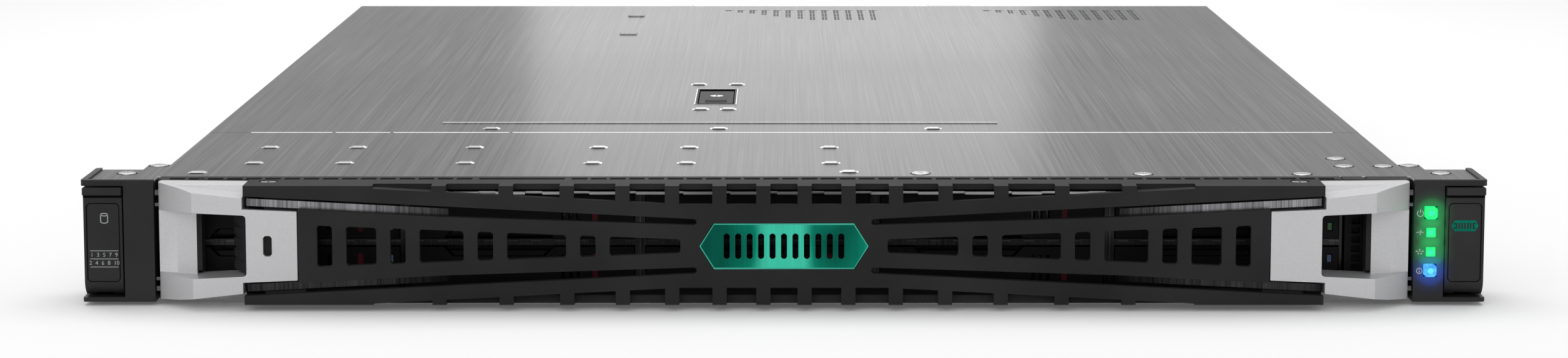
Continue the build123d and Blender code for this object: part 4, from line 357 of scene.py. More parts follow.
EAR_BLACK = (0.025, 0.025, 0.026)
EAR_FINISH = {"rough": (0.4, 0.52), "specular": 0.14}
TOP_FINISH = {"rough": (0.24, 0.36), "aniso": 0.0, "edge": 0.42}
# Accent strips get painted highlight and shade over their streaks.
STRIP_FINISH = {"rough": (0.24, 0.38), "cloudy": (40, 0.75), "shadow": strip_painted_light}
BEZEL_FINISH = {"rough": (0.55, 0.68), "specular": 0.06}
LATCH_GREY = 0.007
CAGE_SHADE_GREY = (0.02, 0.05)
HOOK_GREY = (0.06, 0.12)
GREEN_LENS = ((0.015, 0.9, 0.2), (0.025, 0.96, 0.28))
GREEN_CORE = ((0.03, 0.85, 0.42), (0.04, 0.9, 0.5))
BLUE_LENS = ((0.05, 0.36, 1.0), (0.12, 0.6, 1.0))
BLUE_CORE = ((0.12, 0.82, 1.0), (0.18, 0.9, 1.0))

MAKERS = {
    "brushed_top": lambda name: brushed_metal(name, 0.22, 0.41, **TOP_FINISH),
    "chassis_steel": lambda name: brushed_metal(name, 0.4, 0.5, "Z"),
    "screw_metal": lambda name: brushed_metal(name, 0.34, 0.5, "X", rough=(0.2, 0.32)),
    "bezel_black": lambda name: moulded_plastic(name, grey(0.025), **BEZEL_FINISH),
    "ear_black": lambda name: moulded_plastic(name, EAR_BLACK, **EAR_FINISH),
    "handle_silver": silver_paint,
    "strip_metal": lambda name: brushed_metal(name, 0.1, 0.42, "Z", **STRIP_FINISH),
    "badge_green": badge_metal,
    "light_green": lambda name: lit_lens(name, *GREEN_LENS),
    "light_blue": lambda name: lit_lens(name, *BLUE_LENS),
    "drive_black": lambda name: moulded_plastic(name, grey(0.007), specular=0.12),
    "drive_red": lambda name: moulded_plastic(name, (0.10, 0.008, 0.016)),
    "drive_metal": lambda name: brushed_metal(name, 0.42, 0.6, "X"),
    "board_green": lambda name: circuit_board(name, (0.01, 0.07, 0.035)),
    "memory_board": lambda name: circuit_board(name, (0.012, 0.09, 0.03)),
    "fin_metal": lambda name: brushed_metal(name, 0.55, 0.7, "Z"),
    "baffle_plastic": lambda name: moulded_plastic(name, (0.02, 0.02, 0.022)),
    "fan_black": lambda name: moulded_plastic(name, (0.018, 0.018, 0.019)),
    "psu_metal": lambda name: brushed_metal(name, 0.4, 0.52, "Y", shadow=handle_black_coat),
    "latch_red": lambda name: moulded_plastic(name, (0.16, 0.015, 0.03)),
    "port_metal": lambda name: brushed_metal(name, 0.5, 0.66, "Y"),
}

# Nodes whose moulded or folded edges are rounded, with the size in millimetres
ROUNDED = {
    "bezel_frame": 0.35, "bezel_handle_left": 0.4, "bezel_handle_right": 0.4,
    "bezel_badge": 0.15, "bezel_rails": 0.2, "ear_housing_left": 0.35,
    "ear_housing_right": 0.35, "release_lever_left": 0.3, "release_lever_right": 0.3,
    "front_top_panel": 0.25, "ear_bracket_left": 0.2, "ear_bracket_right": 0.2,
    "power_button": 0.3, "uid_button": 0.3, "status_lights": 0.3,
    "cover_latch_lever": 0.2, "drive_levers": 0.2, "drive_carriers": 0.2,
}
ROUND_ANGLE = math.radians(32)


def round_edges(node, size):
    """Small rounds that catch the light; the solid's own mesh stays as it is."""
    weld = node.modifiers.new("weld", "WELD")
    weld.merge_threshold = 0.002 * MM
    bevel = node.modifiers.new("round", "BEVEL")
    bevel.width = size * MM
    bevel.segments = 2
    bevel.limit_method = "ANGLE"
    bevel.angle_limit = ROUND_ANGLE
    bevel.harden_normals = True


def finish_nodes():
    """Every CAD node gets its slot's material, and the moulded ones small rounds."""
    made = {}
    for entry in frame["record"]["subparts"]:
        slot = entry["material_slot"]
        if slot not in made:
            made[slot] = MAKERS[slot](slot)
        node = nodes[entry["node"]]
        node.data.materials.clear()
        node.data.materials.append(made[slot])
    # Painted glow round the lamps on the right ear's housing and lever.
    spilled = plastic_with_painted_glow("ear_black_painted_glow", EAR_BLACK)
    for name in ("ear_housing_right", "release_lever_right"):
        nodes[name].data.materials[0] = spilled
    # Painted shade: the drive cage's steel is made near black, as it lies in shade behind the
    # grille.
    nodes["drive_cage"].data.materials[0] = brushed_metal("cage_painted_shade", *CAGE_SHADE_GREY, "Z")
    latch_black = moulded_plastic("latch_black", grey(LATCH_GREY), specular=0.04)
    nodes["cover_latch_housing"].data.materials[0] = latch_black
    nodes["cover_latch_lever"].data.materials[0] = latch_black
    nodes["bezel_hooks"].data.materials[0] = brushed_metal("hook_metal", *HOOK_GREY, "X")
    for name, size in ROUNDED.items():
        round_edges(nodes[name], size)
    return made


# Pieces
def link(name, mesh):
    made = bpy.data.objects.new(name, mesh)
    bpy.context.scene.collection.objects.link(made)
    return made


class Form:
    """A mesh gathered from rings of points, in millimetres, that becomes one piece."""

    def __init__(self):
        self.points = []
        self.faces = []

    def skin(self, rings, ends=(True, True)):
        """Walls between rings of equal length, and the two end faces."""
        count = len(rings[0])
        starts = []
        for ring in rings:
            starts.append(len(self.points))
            self.points += [at(*point) for point in ring]
        for low, high in zip(starts, starts[1:]):
            for step in range(count):
                after = (step + 1) % count
                self.faces.append((low + step, low + after, high + after, high + step))
        for wanted, start in zip(ends, (starts[0], starts[-1])):
            if wanted:
                self.faces.append(tuple(range(start, start + count)))

    def upright(self, outline, y):
        """A front outline (x, z) carried from y[0] back to y[1]."""
        self.skin([[(x, depth, z) for x, z in outline] for depth in y])

    def flat(self, outline, z):
        """A plan outline (x, y) raised from z[0] to z[1]."""
        self.skin([[(x, y, height) for x, y in outline] for height in z])

    def stroke(self, points, width, y, closed=False):
        """A printed line of even width through points (x, z) on an upright face."""
        count = len(points)
        sides = ([], [])
        for step, (x, z) in enumerate(points):
            before = points[step - 1] if step or closed else points[step]
            after = points[(step + 1) % count] if step < count - 1 or closed else points[step]
            way = Vector((after[0] - before[0], after[1] - before[1])).normalized()
            turn = Vector((points[(step + 1) % count][0] - x, points[(step + 1) % count][1] - z))
            mitre = max(abs(way.dot(turn.normalized())), 0.5) if step < count - 1 or closed else 1.0
            reach = width / 2 / mitre
            sides[0].append((x - way.y * reach, z + way.x * reach))
            sides[1].append((x + way.y * reach, z - way.x * reach))
        last = count if closed else count - 1
        for step in range(last):
            after = (step + 1) % count
            quad = (sides[0][step], sides[0][after], sides[1][after], sides[1][step])
            self.upright(quad, y)

    def text(self, words, x, z, size, y):
        """Plain figures in Blender's own font, on an upright face."""
        curve = bpy.data.curves.new("figures", "FONT")
        curve.body = words
        curve.size = size * MM
        curve.align_x = "CENTER"
        curve.align_y = "CENTER"
        curve.resolution_u = 3
        holder = link("figures", curve)
        mesh = bpy.data.meshes.new_from_object(holder)
        start = len(self.points)
        self.points += [at(x, y, z) + Vector((v.co.x, 0, v.co.y)) for v in mesh.vertices]
        self.faces += [tuple(start + v for v in face.vertices) for face in mesh.polygons]
        bpy.data.objects.remove(holder)
        bpy.data.curves.remove(curve)
        bpy.data.meshes.remove(mesh)

    def piece(self, name, body, slot, material, replaces=()):
        mesh = bpy.data.meshes.new(name)
        mesh.from_pydata(self.points, [], self.faces)
        work = bmesh.new()
        work.from_mesh(mesh)
        bmesh.ops.remove_doubles(work, verts=work.verts, dist=0.001 * MM)
        bmesh.ops.recalc_face_normals(work, faces=work.faces)
        work.to_mesh(mesh)
        work.free()
        mesh.materials.append(material)
        made = link(name, mesh)
        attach(made, body)
        if replaces:
            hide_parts(*replaces)


def rectangle(across, up):
    return [(across[0], up[0]), (across[1], up[0]), (across[1], up[1]), (across[0], up[1])]


def circle(x, y, radius, steps):
    turn = 2 * math.pi / steps
    return [(x + radius * math.cos(step * turn), y + radius * math.sin(step * turn))
            for step in range(steps)]


def arc(x, z, radius, first, last, steps):
    angles = [math.radians(first + (last - first) * step / steps) for step in range(steps + 1)]
    return [(x + radius * math.cos(angle), z + radius * math.sin(angle)) for angle in angles]


# Top of the chassis: places as in the solids
LANCES_X = (-188.3, -156.1, -113.4, -68.0, -34.7, 16.7)
LANCE_ROWS_Y = (36.0, 79.8)
LONE_LANCES = ((22.7, 12.6), (-204.6, 10.5))
PANEL_LANCES = ((-111.5, 136.7), (-24.8, 136.7), (56.8, 136.7), (-35.7, 289.5), (-19.8, 289.5),
                (-33.1, 200.0), (-22.2, 200.0))
LANCE_HALF = 2.7
LANCE_DEPTH = 4.6
LANCE_RISE = 0.58
LANCE_WING = 0.6
LANCE_SHEET = 0.15
LANCE_SLOPE = 0.75
LANCE_FOOT = 0.12
LANCE_WING_THICK = 0.04
LANCE_FRONT = (0.55, 0.7)
LANCE_REAR = (0.3, 0.45)
CHASSIS_HALF = 217.3
SCREWS = ((47.5, 8.5), (124.9, 6.4), (180.2, 6.4), (197.7, 48.0), (197.7, 27.2), (211.5, 27.2))
BRACKET_SCREWS = ((3.7, 29.3), (11.5, 8.5))
SCREW_STEPS = 36
SCREW_RINGS = ((3.1, 0.0), (3.05, 0.2), (2.8, 0.36), (2.2, 0.48), (1.6, 0.52))
# Painted shade round the screw heads and at the bottom of their recesses: thin black rings and
# discs
SHADE_RISE = 0.03
SHADE_RINGS = ((3.1, 0.0), (3.1, SHADE_RISE), (3.7, SHADE_RISE), (3.7, 0.0), (3.1, 0.0))
RECESS_RADIUS = 1.25
RECESS_LOBE = 0.22
RECESS_DEEP = 0.3
RECESS_LOBES = 6


def lance_ring(x, y, share):
    """Section across one lance: an arch of sheet with a thin wing on each side."""
    rise = LANCE_RISE * share
    under = max(rise - LANCE_SHEET, 0.02)
    tip = LANCE_HALF + LANCE_WING
    shoulder = LANCE_HALF - LANCE_SLOPE
    hollow = (LANCE_HALF - 0.25, shoulder - 0.15)
    outer = [(-tip, LANCE_WING_THICK), (-LANCE_HALF, LANCE_FOOT), (-shoulder, rise), (0, rise),
             (shoulder, rise), (LANCE_HALF, LANCE_FOOT), (tip, LANCE_WING_THICK)]
    inner = [(tip, 0.0), (hollow[0], 0.0), (hollow[1], under), (0, under),
             (-hollow[1], under), (-hollow[0], 0.0), (-tip, 0.0)]
    return [(x + dx, y, COVER + dz) for dx, dz in outer + inner]


def add_lances(name, places, body, node, material):
    form = Form()
    half = LANCE_DEPTH / 2
    sections = ((-half, LANCE_FRONT[0]), (LANCE_FRONT[1] - half, 1.0),
                (half * LANCE_REAR[1], 1.0), (half, LANCE_REAR[0]))
    for x, y in places:
        form.skin([lance_ring(x, y + dy, share) for dy, share in sections])
    form.piece(name, body, "screw_metal", material, replaces=(node,))


def lobed(x, y, z, share):
    turn = 2 * math.pi / SCREW_STEPS
    ring = []
    for step in range(SCREW_STEPS):
        radius = (RECESS_RADIUS + RECESS_LOBE * math.cos(RECESS_LOBES * step * turn)) * share
        ring.append((x + radius * math.cos(step * turn), y + radius * math.sin(step * turn), z))
    return ring


def screw_head(form, x, y, z):
    """Low domed head with a six-lobed recess."""
    rings = [[(px, py, z + rise) for px, py in circle(x, y, radius, SCREW_STEPS)]
             for radius, rise in SCREW_RINGS]
    top = z + SCREW_RINGS[-1][1]
    rings += [lobed(x, y, top, 1.0), lobed(x, y, top - RECESS_DEEP, 0.92)]
    form.skin(rings)


def add_screws(material, dark):
    heads, shade_rings = Form(), Form()
    sides = [(side * (CHASSIS_HALF + x), y) for x, y in BRACKET_SCREWS for side in (1, -1)]
    for x, y in list(SCREWS) + sides:
        screw_head(heads, x, y, COVER)
        # Painted shade: a black ring round the head, and a black disc at the bottom of its recess.
        ring = [[(px, py, COVER + rise) for px, py in circle(x, y, radius, SCREW_STEPS)]
                for radius, rise in SHADE_RINGS]
        shade_rings.skin(ring, ends=(False, False))
        pit = COVER + SCREW_RINGS[-1][1] - RECESS_DEEP
        shade_rings.flat(circle(x, y, RECESS_RADIUS * 0.8, 12), (pit, pit + SHADE_RISE))
    heads.piece("top_screw_heads", "chassis", "screw_metal", material, replaces=("top_screws",))
    shade_rings.piece("screw_shade_rings", "chassis", "bezel_black", dark)


# Vent patches
VENT_GROUP_X = (-29.9, 100.9)
VENT_COUNT = 13
VENT_PITCH = 6.05
VENT_WIDTH = 4.5
VENT_REAR_Y = 632.7
VENT_LENGTHS = (6.0, 54.0)
VENT_FULL_FROM = 8
HOLE = 1.1
WEB = 0.4
HOLE_ROWS = 11
VENT_DROP = 0.1


def hole_lines(start, end, limit=None):
    """Edges of a row of holes that fills a length; a wider web after every so many."""
    lines = [start]
    place = start + WEB
    count = 0
    while place + HOLE + WEB * 0.5 <= end:
        lines += [place, place + HOLE]
        count += 1
        place += HOLE + WEB
        if limit and count % limit == 0:
            place += WEB * 3
    return lines + [end]


def perforated(form, xs, ys, z):
    """Sheet on a grid of lines; each cell between two odd lines is a hole."""
    start = len(form.points)
    form.points += [at(x, y, height) for height in z for y in ys for x in xs]
    columns, rows = len(xs), len(ys)

    def corner(i, j, level):
        return start + (level * rows + j) * columns + i

    def solid(i, j):
        return 0 <= i < columns - 1 and 0 <= j < rows - 1 and not (i % 2 and j % 2)

    for j in range(rows):
        for i in range(columns):
            if solid(i, j):
                for level in (0, 1):
                    form.faces.append((corner(i, j, level), corner(i + 1, j, level),
                                       corner(i + 1, j + 1, level), corner(i, j + 1, level)))
            if j < rows - 1 and solid(i, j) != solid(i - 1, j):
                form.faces.append((corner(i, j, 0), corner(i, j + 1, 0), corner(i, j + 1, 1),
                                   corner(i, j, 1)))
            if i < columns - 1 and solid(i, j) != solid(i, j - 1):
                form.faces.append((corner(i, j, 0), corner(i + 1, j, 0), corner(i + 1, j, 1),
                                   corner(i, j, 1)))


def add_vent_screens(material):
    form = Form()
    z = (COVER - COVER_SHEET + VENT_DROP, COVER - VENT_DROP)
    for group_x in VENT_GROUP_X:
        for index in range(VENT_COUNT):
            share = min(index / (VENT_FULL_FROM - 1), 1)
            length = VENT_LENGTHS[0] + (VENT_LENGTHS[1] - VENT_LENGTHS[0]) * share
            left = group_x + index * VENT_PITCH
            ys = hole_lines(-VENT_REAR_Y, length - VENT_REAR_Y, HOLE_ROWS)
            perforated(form, hole_lines(left, left + VENT_WIDTH), [-y for y in ys], z)
    form.piece("vent_screens", "access_panel", "brushed_top", material)


# Folded edges of the panels
HEM_Y = 124.8
HEM_SPANS = ((-201.5, -170.8), (-169.6, -148.9), (-147.7, -103.9), (-102.7, 207.4))
HEM_WIDTH = 0.7
HEM_HEIGHT = (-0.3, 0.42)
BEAD_Y = 153.6
BEAD_WIDTH = 0.9
BEAD_HEIGHT = (0.3, 0.16)
BEAD_X = (-131.6, 82.3)
LATCH_X = (-35.7, -19.5)
LATCH_Y = (216.5, 271.4)
RIM = 0.4
RIM_RISE = 0.18


def ridge(form, x, y, width, height):
    """Half-round strip along X; its height is where it starts above the cover and its rise."""
    low, rise = COVER + height[0], height[1]
    shoulder, top = low + rise * 0.55, low + rise
    section = [(y, low), (y, shoulder), (y + width * 0.3, top), (y + width * 0.7, top),
               (y + width, shoulder), (y + width, low)]
    form.skin([[(px, py, pz) for py, pz in section] for px in x])


def add_panel_edges(material, crest):
    # The hem and the bead's crest are painted highlight: brighter metal than the sheet.
    hem = Form()
    for span in HEM_SPANS:
        ridge(hem, span, HEM_Y, HEM_WIDTH, HEM_HEIGHT)
    hem.piece("panel_hem", "access_panel", "screw_metal", crest)
    bead = Form()
    ridge(bead, BEAD_X, BEAD_Y, BEAD_WIDTH, BEAD_HEIGHT)
    bead.piece("bead_crest", "access_panel", "screw_metal", crest)
    rim = Form()
    inner = rectangle(LATCH_X, LATCH_Y)
    outer = rectangle((LATCH_X[0] - RIM, LATCH_X[1] + RIM), (LATCH_Y[0] - RIM, LATCH_Y[1] + RIM))
    steps = ((outer, 0.0), (outer, RIM_RISE), (inner, RIM_RISE), (inner, 0.0), (outer, 0.0))
    rim.skin([[(x, y, COVER + rise) for x, y in edge] for edge, rise in steps],
             ends=(False, False))
    rim.piece("latch_rim", "access_panel", "screw_metal", material)


# Marks on the ears, printed on their front faces
INK_THICK = 0.03
LABEL_FACE_Y = -12.35
LABEL_X = (228.2, 239.7)
LABEL_Z = (8.0, 35.5)
LABEL_CORNER = 1.0
GROOVE = 0.32
MARK_X = 218.5
LEVER_X = (227.3, 240.6)
LIP_GAP_Z = (37.3, 38.4)
LINE = 0.22
DRUM = (-233.5, 30.2)
DRUM_SIZE = (1.2, 1.25, 0.45)
DRUM_LINE = LINE * 1.4
BAY_RULES_X = (-238.6, -228.9)
BAY_RULES_Z = (18.9, 16.1, 13.3)
BAY_NUMBERS = (("1  3  5  7  9", 17.45), ("2  4  6  8  10", 14.65))
BAY_NUMBER_SIZE = 2.0
PULSE = ((-1.3, 0.0), (-0.55, 0.0), (-0.3, 0.55), (0.0, -1.0), (0.3, 0.95), (0.55, 0.0),
         (1.3, 0.0))
NETWORK_DOTS = ((-1.1, 0.2), (0.0, 0.7), (1.1, 0.2), (-0.45, -0.6), (0.55, -0.6))


def printed_on(face):
    return face - INK_THICK, face


def label_edge(side, inset):
    left, right = LABEL_X[0] + inset, LABEL_X[1] - inset
    low, high = LABEL_Z[0] + inset, LABEL_Z[1] - inset
    cut = LABEL_CORNER
    outline = [(left + cut, low), (right - cut, low), (right, low + cut), (right, high - cut),
               (right - cut, high), (left + cut, high), (left, high - cut), (left, low + cut)]
    return [(side * x, z) for x, z in outline]


def add_label_grooves(material):
    # Painted shade: black lines in the groove round each label and in the gap under the lever's
    # lip.
    for side, word in ((1, "right"), (-1, "left")):
        form = Form()
        form.stroke(label_edge(side, GROOVE / 2), GROOVE, printed_on(LABEL_FACE_Y), closed=True)
        gap = [(side * x, z) for x, z in rectangle(LEVER_X, LIP_GAP_Z)]
        form.upright(gap, printed_on(EAR_FACE_Y))
        form.piece("label_groove_" + word, "lever_" + word, "bezel_black", material)


def add_bay_label(ink):
    """Left lever: a drum for storage, and the bays' plain numbers between rules."""
    form = Form()
    y = printed_on(LABEL_FACE_Y)
    x, z = DRUM
    half, tall, bulge = DRUM_SIZE
    top = [(x + half * px, z + tall + bulge * pz) for px, pz in circle(0, 0, 1, 12)]
    form.stroke(top, DRUM_LINE, y, closed=True)
    bottom = [(px, pz - 2 * tall) for px, pz in top[6:] + top[:1]]
    form.stroke([top[6]] + bottom + [top[0]], DRUM_LINE, y)
    for rule_z in BAY_RULES_Z:
        form.stroke([(rule_x, rule_z) for rule_x in BAY_RULES_X], LINE, y)
    for words, row_z in BAY_NUMBERS:
        form.text(words, sum(BAY_RULES_X) / 2, row_z, BAY_NUMBER_SIZE, y[0])
    form.piece("bay_label", "lever_left", "handle_silver", ink)


def add_front_marks(ink):
    """Right ear: plain symbols beside the button and the lights."""
    form = Form()
    y = printed_on(EAR_FACE_Y)
    power, status, network, ident = [z for z, _ in LIGHTS]
    form.stroke(arc(MARK_X, power - 0.1, 1.05, 120, 420, 14), LINE, y)
    form.stroke([(MARK_X, power + 0.1), (MARK_X, power + 1.4)], LINE, y)
    form.stroke([(MARK_X + x, status + z) for x, z in PULSE], LINE * 0.85, y)
    for x, z in NETWORK_DOTS:
        form.upright(circle(MARK_X + x, network + z, 0.26, 10), y)
    form.stroke([(MARK_X + x, network + 0.1) for x in (-0.9, 0.9)], LINE * 0.5, y)
    form.stroke(circle(MARK_X, ident, 0.95, 20), LINE, y, closed=True)
    form.stroke([(MARK_X, ident - 0.6), (MARK_X, ident + 0.1)], LINE * 1.2, y)
    form.upright(circle(MARK_X, ident + 0.5, 0.17, 8), y)
    form.piece("front_marks", "chassis", "handle_silver", ink)


PLATE = (233.9, 27.6)
PLATE_HALF = 4.7
PLATE_TALL = 1.9
PLATE_POINT = 1.2
PLATE_THICK = 0.12
PLATE_BARS = 7
PLATE_BAR_SPAN = PLATE_HALF - 1.3
PLATE_BAR = 0.42


def add_lever_plate(material):
    """Right lever: a small green plate with the badge's pointed ends and slots."""
    form = Form()
    x, z = PLATE
    y = (LABEL_FACE_Y - PLATE_THICK, LABEL_FACE_Y)
    for sign in (1, -1):
        edge, slot = z + sign * PLATE_TALL, z + sign * PLATE_TALL * 0.55
        left, right = x - PLATE_HALF, x + PLATE_HALF
        band = [(left, z), (left + PLATE_POINT, edge), (right - PLATE_POINT, edge), (right, z),
                (right - 1.0, z), (right - 1.5, slot), (left + 1.5, slot), (left + 1.0, z)]
        form.upright(band, y)
    reach = PLATE_TALL * 0.56
    for step in range(PLATE_BARS + 1):
        middle = x + PLATE_BAR_SPAN * (2 * step / PLATE_BARS - 1)
        bar = (middle - PLATE_BAR / 2, middle + PLATE_BAR / 2)
        form.upright(rectangle(bar, (z - reach, z + reach)), y)
    form.piece("lever_plate", "lever_right", "badge_green", material)


def add_lamp_cores():
    """Brighter middles of the lit lenses."""
    green = lit_lens("core_green", *GREEN_CORE)
    blue = lit_lens("core_blue", *BLUE_CORE)
    places = (("power", BUTTON_FACE_Y, green, "power_button", "light_green"),
              ("status", LENS_FACE_Y, green, "chassis", "light_green"),
              ("network", LENS_FACE_Y, green, "chassis", "light_green"),
              ("ident", BUTTON_FACE_Y, blue, "uid_button", "light_blue"))
    for (word, face, material, body, slot), (z, _) in zip(places, LIGHTS):
        form = Form()
        form.upright(circle(LIGHT_X, z, CORE_RADIUS, 16), printed_on(face))
        form.piece("lamp_core_" + word, body, slot, material)


# Drives behind the grille: places as in the solids
DRIVE_LEFT_X = -211.7
DRIVE_PITCH = 81.5
DRIVE_COLUMNS = 5
DRIVE_FACE_Y = 1.2
ROW_EDGES = ((18.2, -1), (21.2, 1))
DRIVE_LAMP_X = (74.2, 76.1)
DRIVE_LAMP_BAND = (2.6, 5.6)
DRIVE_LAMP_SUNK = 0.6
LAMP_PLAY = (0.25, 0.3)
LAMP_THICK = 0.3
CAGE_FRONT_Y = 2.2
CAGE_LIP_Z = (36.4, 37.4)
CAGE_NOTCH = 6.0
CAGE_NOTCH_DEEP = 1.5
NOTCH_FLOOR_Z = (36.6, 37.4)
CAGE_NOTCH_PITCH = 16.3
CAGE_LEFT_X = -212.1
CAGE_RIGHT_X = 193.8
SHELF_DASH_Z = (20.0, 20.35)
SHELF_DASH = 3.6
EDGE_THICK = 0.08
DIVIDER_EDGE_X = -1.3
DIVIDER_EDGE = 0.3
DIVIDER_Z = (3.0, 36.0)
SHELF_GLINT_GREY = (0.05, 0.1)


def dashes(form, start, length, pitch, z, face=CAGE_FRONT_Y):
    """Painted highlight on bits of a cut edge, from a start to the cage's right end."""
    y = (face - EDGE_THICK, face)
    while start + length <= CAGE_RIGHT_X:
        form.upright(rectangle((start, start + length), z), y)
        start += pitch


def add_drive_details(crest):
    """Lamp windows in the drives' faces, and painted highlights on the cut edges of their cage."""
    upper = printed_ink("drive_lamp_green", (0.05, 0.12, 0.06), light=0.3)
    lower = printed_ink("drive_lamp_blue", (0.06, 0.09, 0.16), light=0.3)
    for word, (edge, way), material in zip(("lower", "upper"), ROW_EDGES, (lower, upper)):
        form = Form()
        for column in range(DRIVE_COLUMNS):
            left = DRIVE_LEFT_X + column * DRIVE_PITCH
            x = (left + DRIVE_LAMP_X[0] + LAMP_PLAY[0], left + DRIVE_LAMP_X[1] - LAMP_PLAY[0])
            z = (edge + way * (DRIVE_LAMP_BAND[0] + LAMP_PLAY[1]),
                 edge + way * (DRIVE_LAMP_BAND[1] - LAMP_PLAY[1]))
            sunk = DRIVE_FACE_Y + DRIVE_LAMP_SUNK
            form.upright(rectangle(x, z), (sunk - LAMP_THICK, sunk))
        form.piece("drive_lamps_" + word, "chassis", "drive_black", material)
    notches = CAGE_LEFT_X + CAGE_NOTCH_PITCH / 2
    lip = Form()
    dashes(lip, notches + CAGE_NOTCH, CAGE_NOTCH_PITCH - CAGE_NOTCH, CAGE_NOTCH_PITCH, CAGE_LIP_Z)
    dashes(lip, notches, CAGE_NOTCH, CAGE_NOTCH_PITCH, NOTCH_FLOOR_Z,
           CAGE_FRONT_Y + CAGE_NOTCH_DEEP)
    lip.piece("cage_lip_edges", "chassis", "drive_metal", crest)
    edges = Form()
    dashes(edges, CAGE_LEFT_X + 2, SHELF_DASH, CAGE_NOTCH_PITCH / 2, SHELF_DASH_Z)
    for column in range(1, DRIVE_COLUMNS):
        x = DRIVE_LEFT_X + column * DRIVE_PITCH + DIVIDER_EDGE_X
        edges.upright(rectangle((x, x + DIVIDER_EDGE), DIVIDER_Z),
                      (CAGE_FRONT_Y - EDGE_THICK, CAGE_FRONT_Y))
    # Faint painted highlights on the shelf and divider edges.
    dim_glint = brushed_metal("shelf_edge_glint", *SHELF_GLINT_GREY, "X")
    edges.piece("shelf_edges", "chassis", "drive_metal", dim_glint)


# Badge: outline as in the solid
BADGE_FACE_Y = -25.0
BADGE_MIDDLE_Z = 22.4
BADGE_HALF = 28.6
BADGE_SHOULDER = 23.8
BADGE_TALL = 7.6
BADGE_RIM = 0.36
BADGE_RIM_THICK = 0.2
RIM_HIGHLIGHT_GREEN = (0.06, 0.5, 0.36)


def add_badge_edge():
    """Painted highlight along the cut edge round the badge."""
    form = Form()
    z = BADGE_MIDDLE_Z
    top, bottom = z + BADGE_TALL, z - BADGE_TALL
    outline = [(-BADGE_HALF, z), (-BADGE_SHOULDER, top), (BADGE_SHOULDER, top), (BADGE_HALF, z),
               (BADGE_SHOULDER, bottom), (-BADGE_SHOULDER, bottom)]
    form.stroke(outline, BADGE_RIM, (BADGE_FACE_Y, BADGE_FACE_Y + BADGE_RIM_THICK), closed=True)
    form.piece("badge_edge", "bezel", "badge_green", printed_ink("edge_highlight_green", RIM_HIGHLIGHT_GREEN))


# Power supplies at the rear: places as in the solids
PSU_REAR_Y = 656.5
PSU_LEFT_X = (-213.6, -138.3)
PSU_MIDDLE_Z = 21.0
INLET_X = 20.5
INLET_HOLE = (22.8, 16.2, 13.0)
INLET_FLANGE = 1.4
INLET_PROUD = 0.6
LINER = 0.3
GRILLE_X = 53.5
GRILLE_RADIUS = 15.9
GRILLE_DEEP = 1.6
GRILLE_SHADE = 0.15


def frame_bars(form, half, grow, middle, y):
    """Four bars round an opening, each as thick as grow."""
    (wide, tall), (x, z) = half, middle
    across, up = (x - wide - grow, x + wide + grow), (z - tall, z + tall)
    form.upright(rectangle(across, (z + tall, z + tall + grow)), y)
    form.upright(rectangle(across, (z - tall - grow, z - tall)), y)
    form.upright(rectangle((x - wide - grow, x - wide), up), y)
    form.upright(rectangle((x + wide, x + wide + grow), up), y)


def add_power_details(dark, shade_black):
    """Black moulding in each mains inlet, and painted shade, a black disc, behind each fan grille.
    """
    wide, tall = INLET_HOLE[0] / 2, INLET_HOLE[1] / 2
    lined = (wide - LINER, tall - LINER)
    proud = PSU_REAR_Y + INLET_PROUD
    floor = PSU_REAR_Y - INLET_HOLE[2]
    grille_floor = PSU_REAR_Y - GRILLE_DEEP
    z = PSU_MIDDLE_Z
    for number, left in enumerate(PSU_LEFT_X, 1):
        body = "psu_%d" % number
        x = left + INLET_X
        form = Form()
        frame_bars(form, (wide, tall), INLET_FLANGE, (x, z), (PSU_REAR_Y, proud))
        frame_bars(form, lined, LINER, (x, z), (floor, proud))
        form.upright(rectangle((x - wide, x + wide), (z - tall, z + tall)), (floor, floor + LINER))
        form.piece("mains_inlet_%d" % number, body, "fan_black", dark)
        shade = Form()
        shade.upright(circle(left + GRILLE_X, z, GRILLE_RADIUS, 48),
                      (grille_floor, grille_floor + GRILLE_SHADE))
        shade.piece("grille_shade_%d" % number, body, "fan_black", shade_black)


def add_pieces(made):
    bright = made["screw_metal"]
    ink = printed_ink("pale_ink", (0.4, 0.41, 0.42))
    # Painted glow: the printed marks on the right ear give off a little light, though they are no
    # lamp.
    painted_glow_ink = printed_ink("painted_glow_ink", (0.42, 0.46, 0.44), light=0.25)
    # Painted highlight: brighter metal for the panel hem, the bead's crest and the cage's cut
    # edges.
    crest = brushed_metal("painted_highlight_metal", 0.8, 0.9, "X", rough=(0.3, 0.4))
    # Painted shade: near-black sheet in the screw recesses, label grooves, lever gaps and behind
    # the fan grilles.
    shade_black = moulded_plastic("painted_shade_black", grey(0.003), specular=0.02)
    front = [(x, y) for y in LANCE_ROWS_Y for x in LANCES_X] + list(LONE_LANCES)
    add_lances("front_lances", front, "chassis", "front_rivets", bright)
    add_lances("panel_lances", PANEL_LANCES, "access_panel", "access_panel_rivets", bright)
    add_screws(bright, shade_black)
    add_vent_screens(made["brushed_top"])
    add_panel_edges(bright, crest)
    add_label_grooves(shade_black)
    add_bay_label(ink)
    add_front_marks(painted_glow_ink)
    add_lamp_cores()
    add_drive_details(crest)
    add_badge_edge()
    add_power_details(made["fan_black"], shade_black)
    add_lever_plate(made["badge_green"])


# Stage, lights and camera
def seen_rays(tree):
    """One for rays from the camera and through gloss and glass, else nought."""
    path = tree.nodes.new("ShaderNodeLightPath")
    out = path.outputs["Is Camera Ray"]
    for name in ("Is Glossy Ray", "Is Transmission Ray"):
        more = tree.nodes.new("ShaderNodeMath")
        more.operation = "MAXIMUM"
        tree.links.new(out, more.inputs[0])
        tree.links.new(path.outputs[name], more.inputs[1])
        out = more.outputs["Value"]
    return out


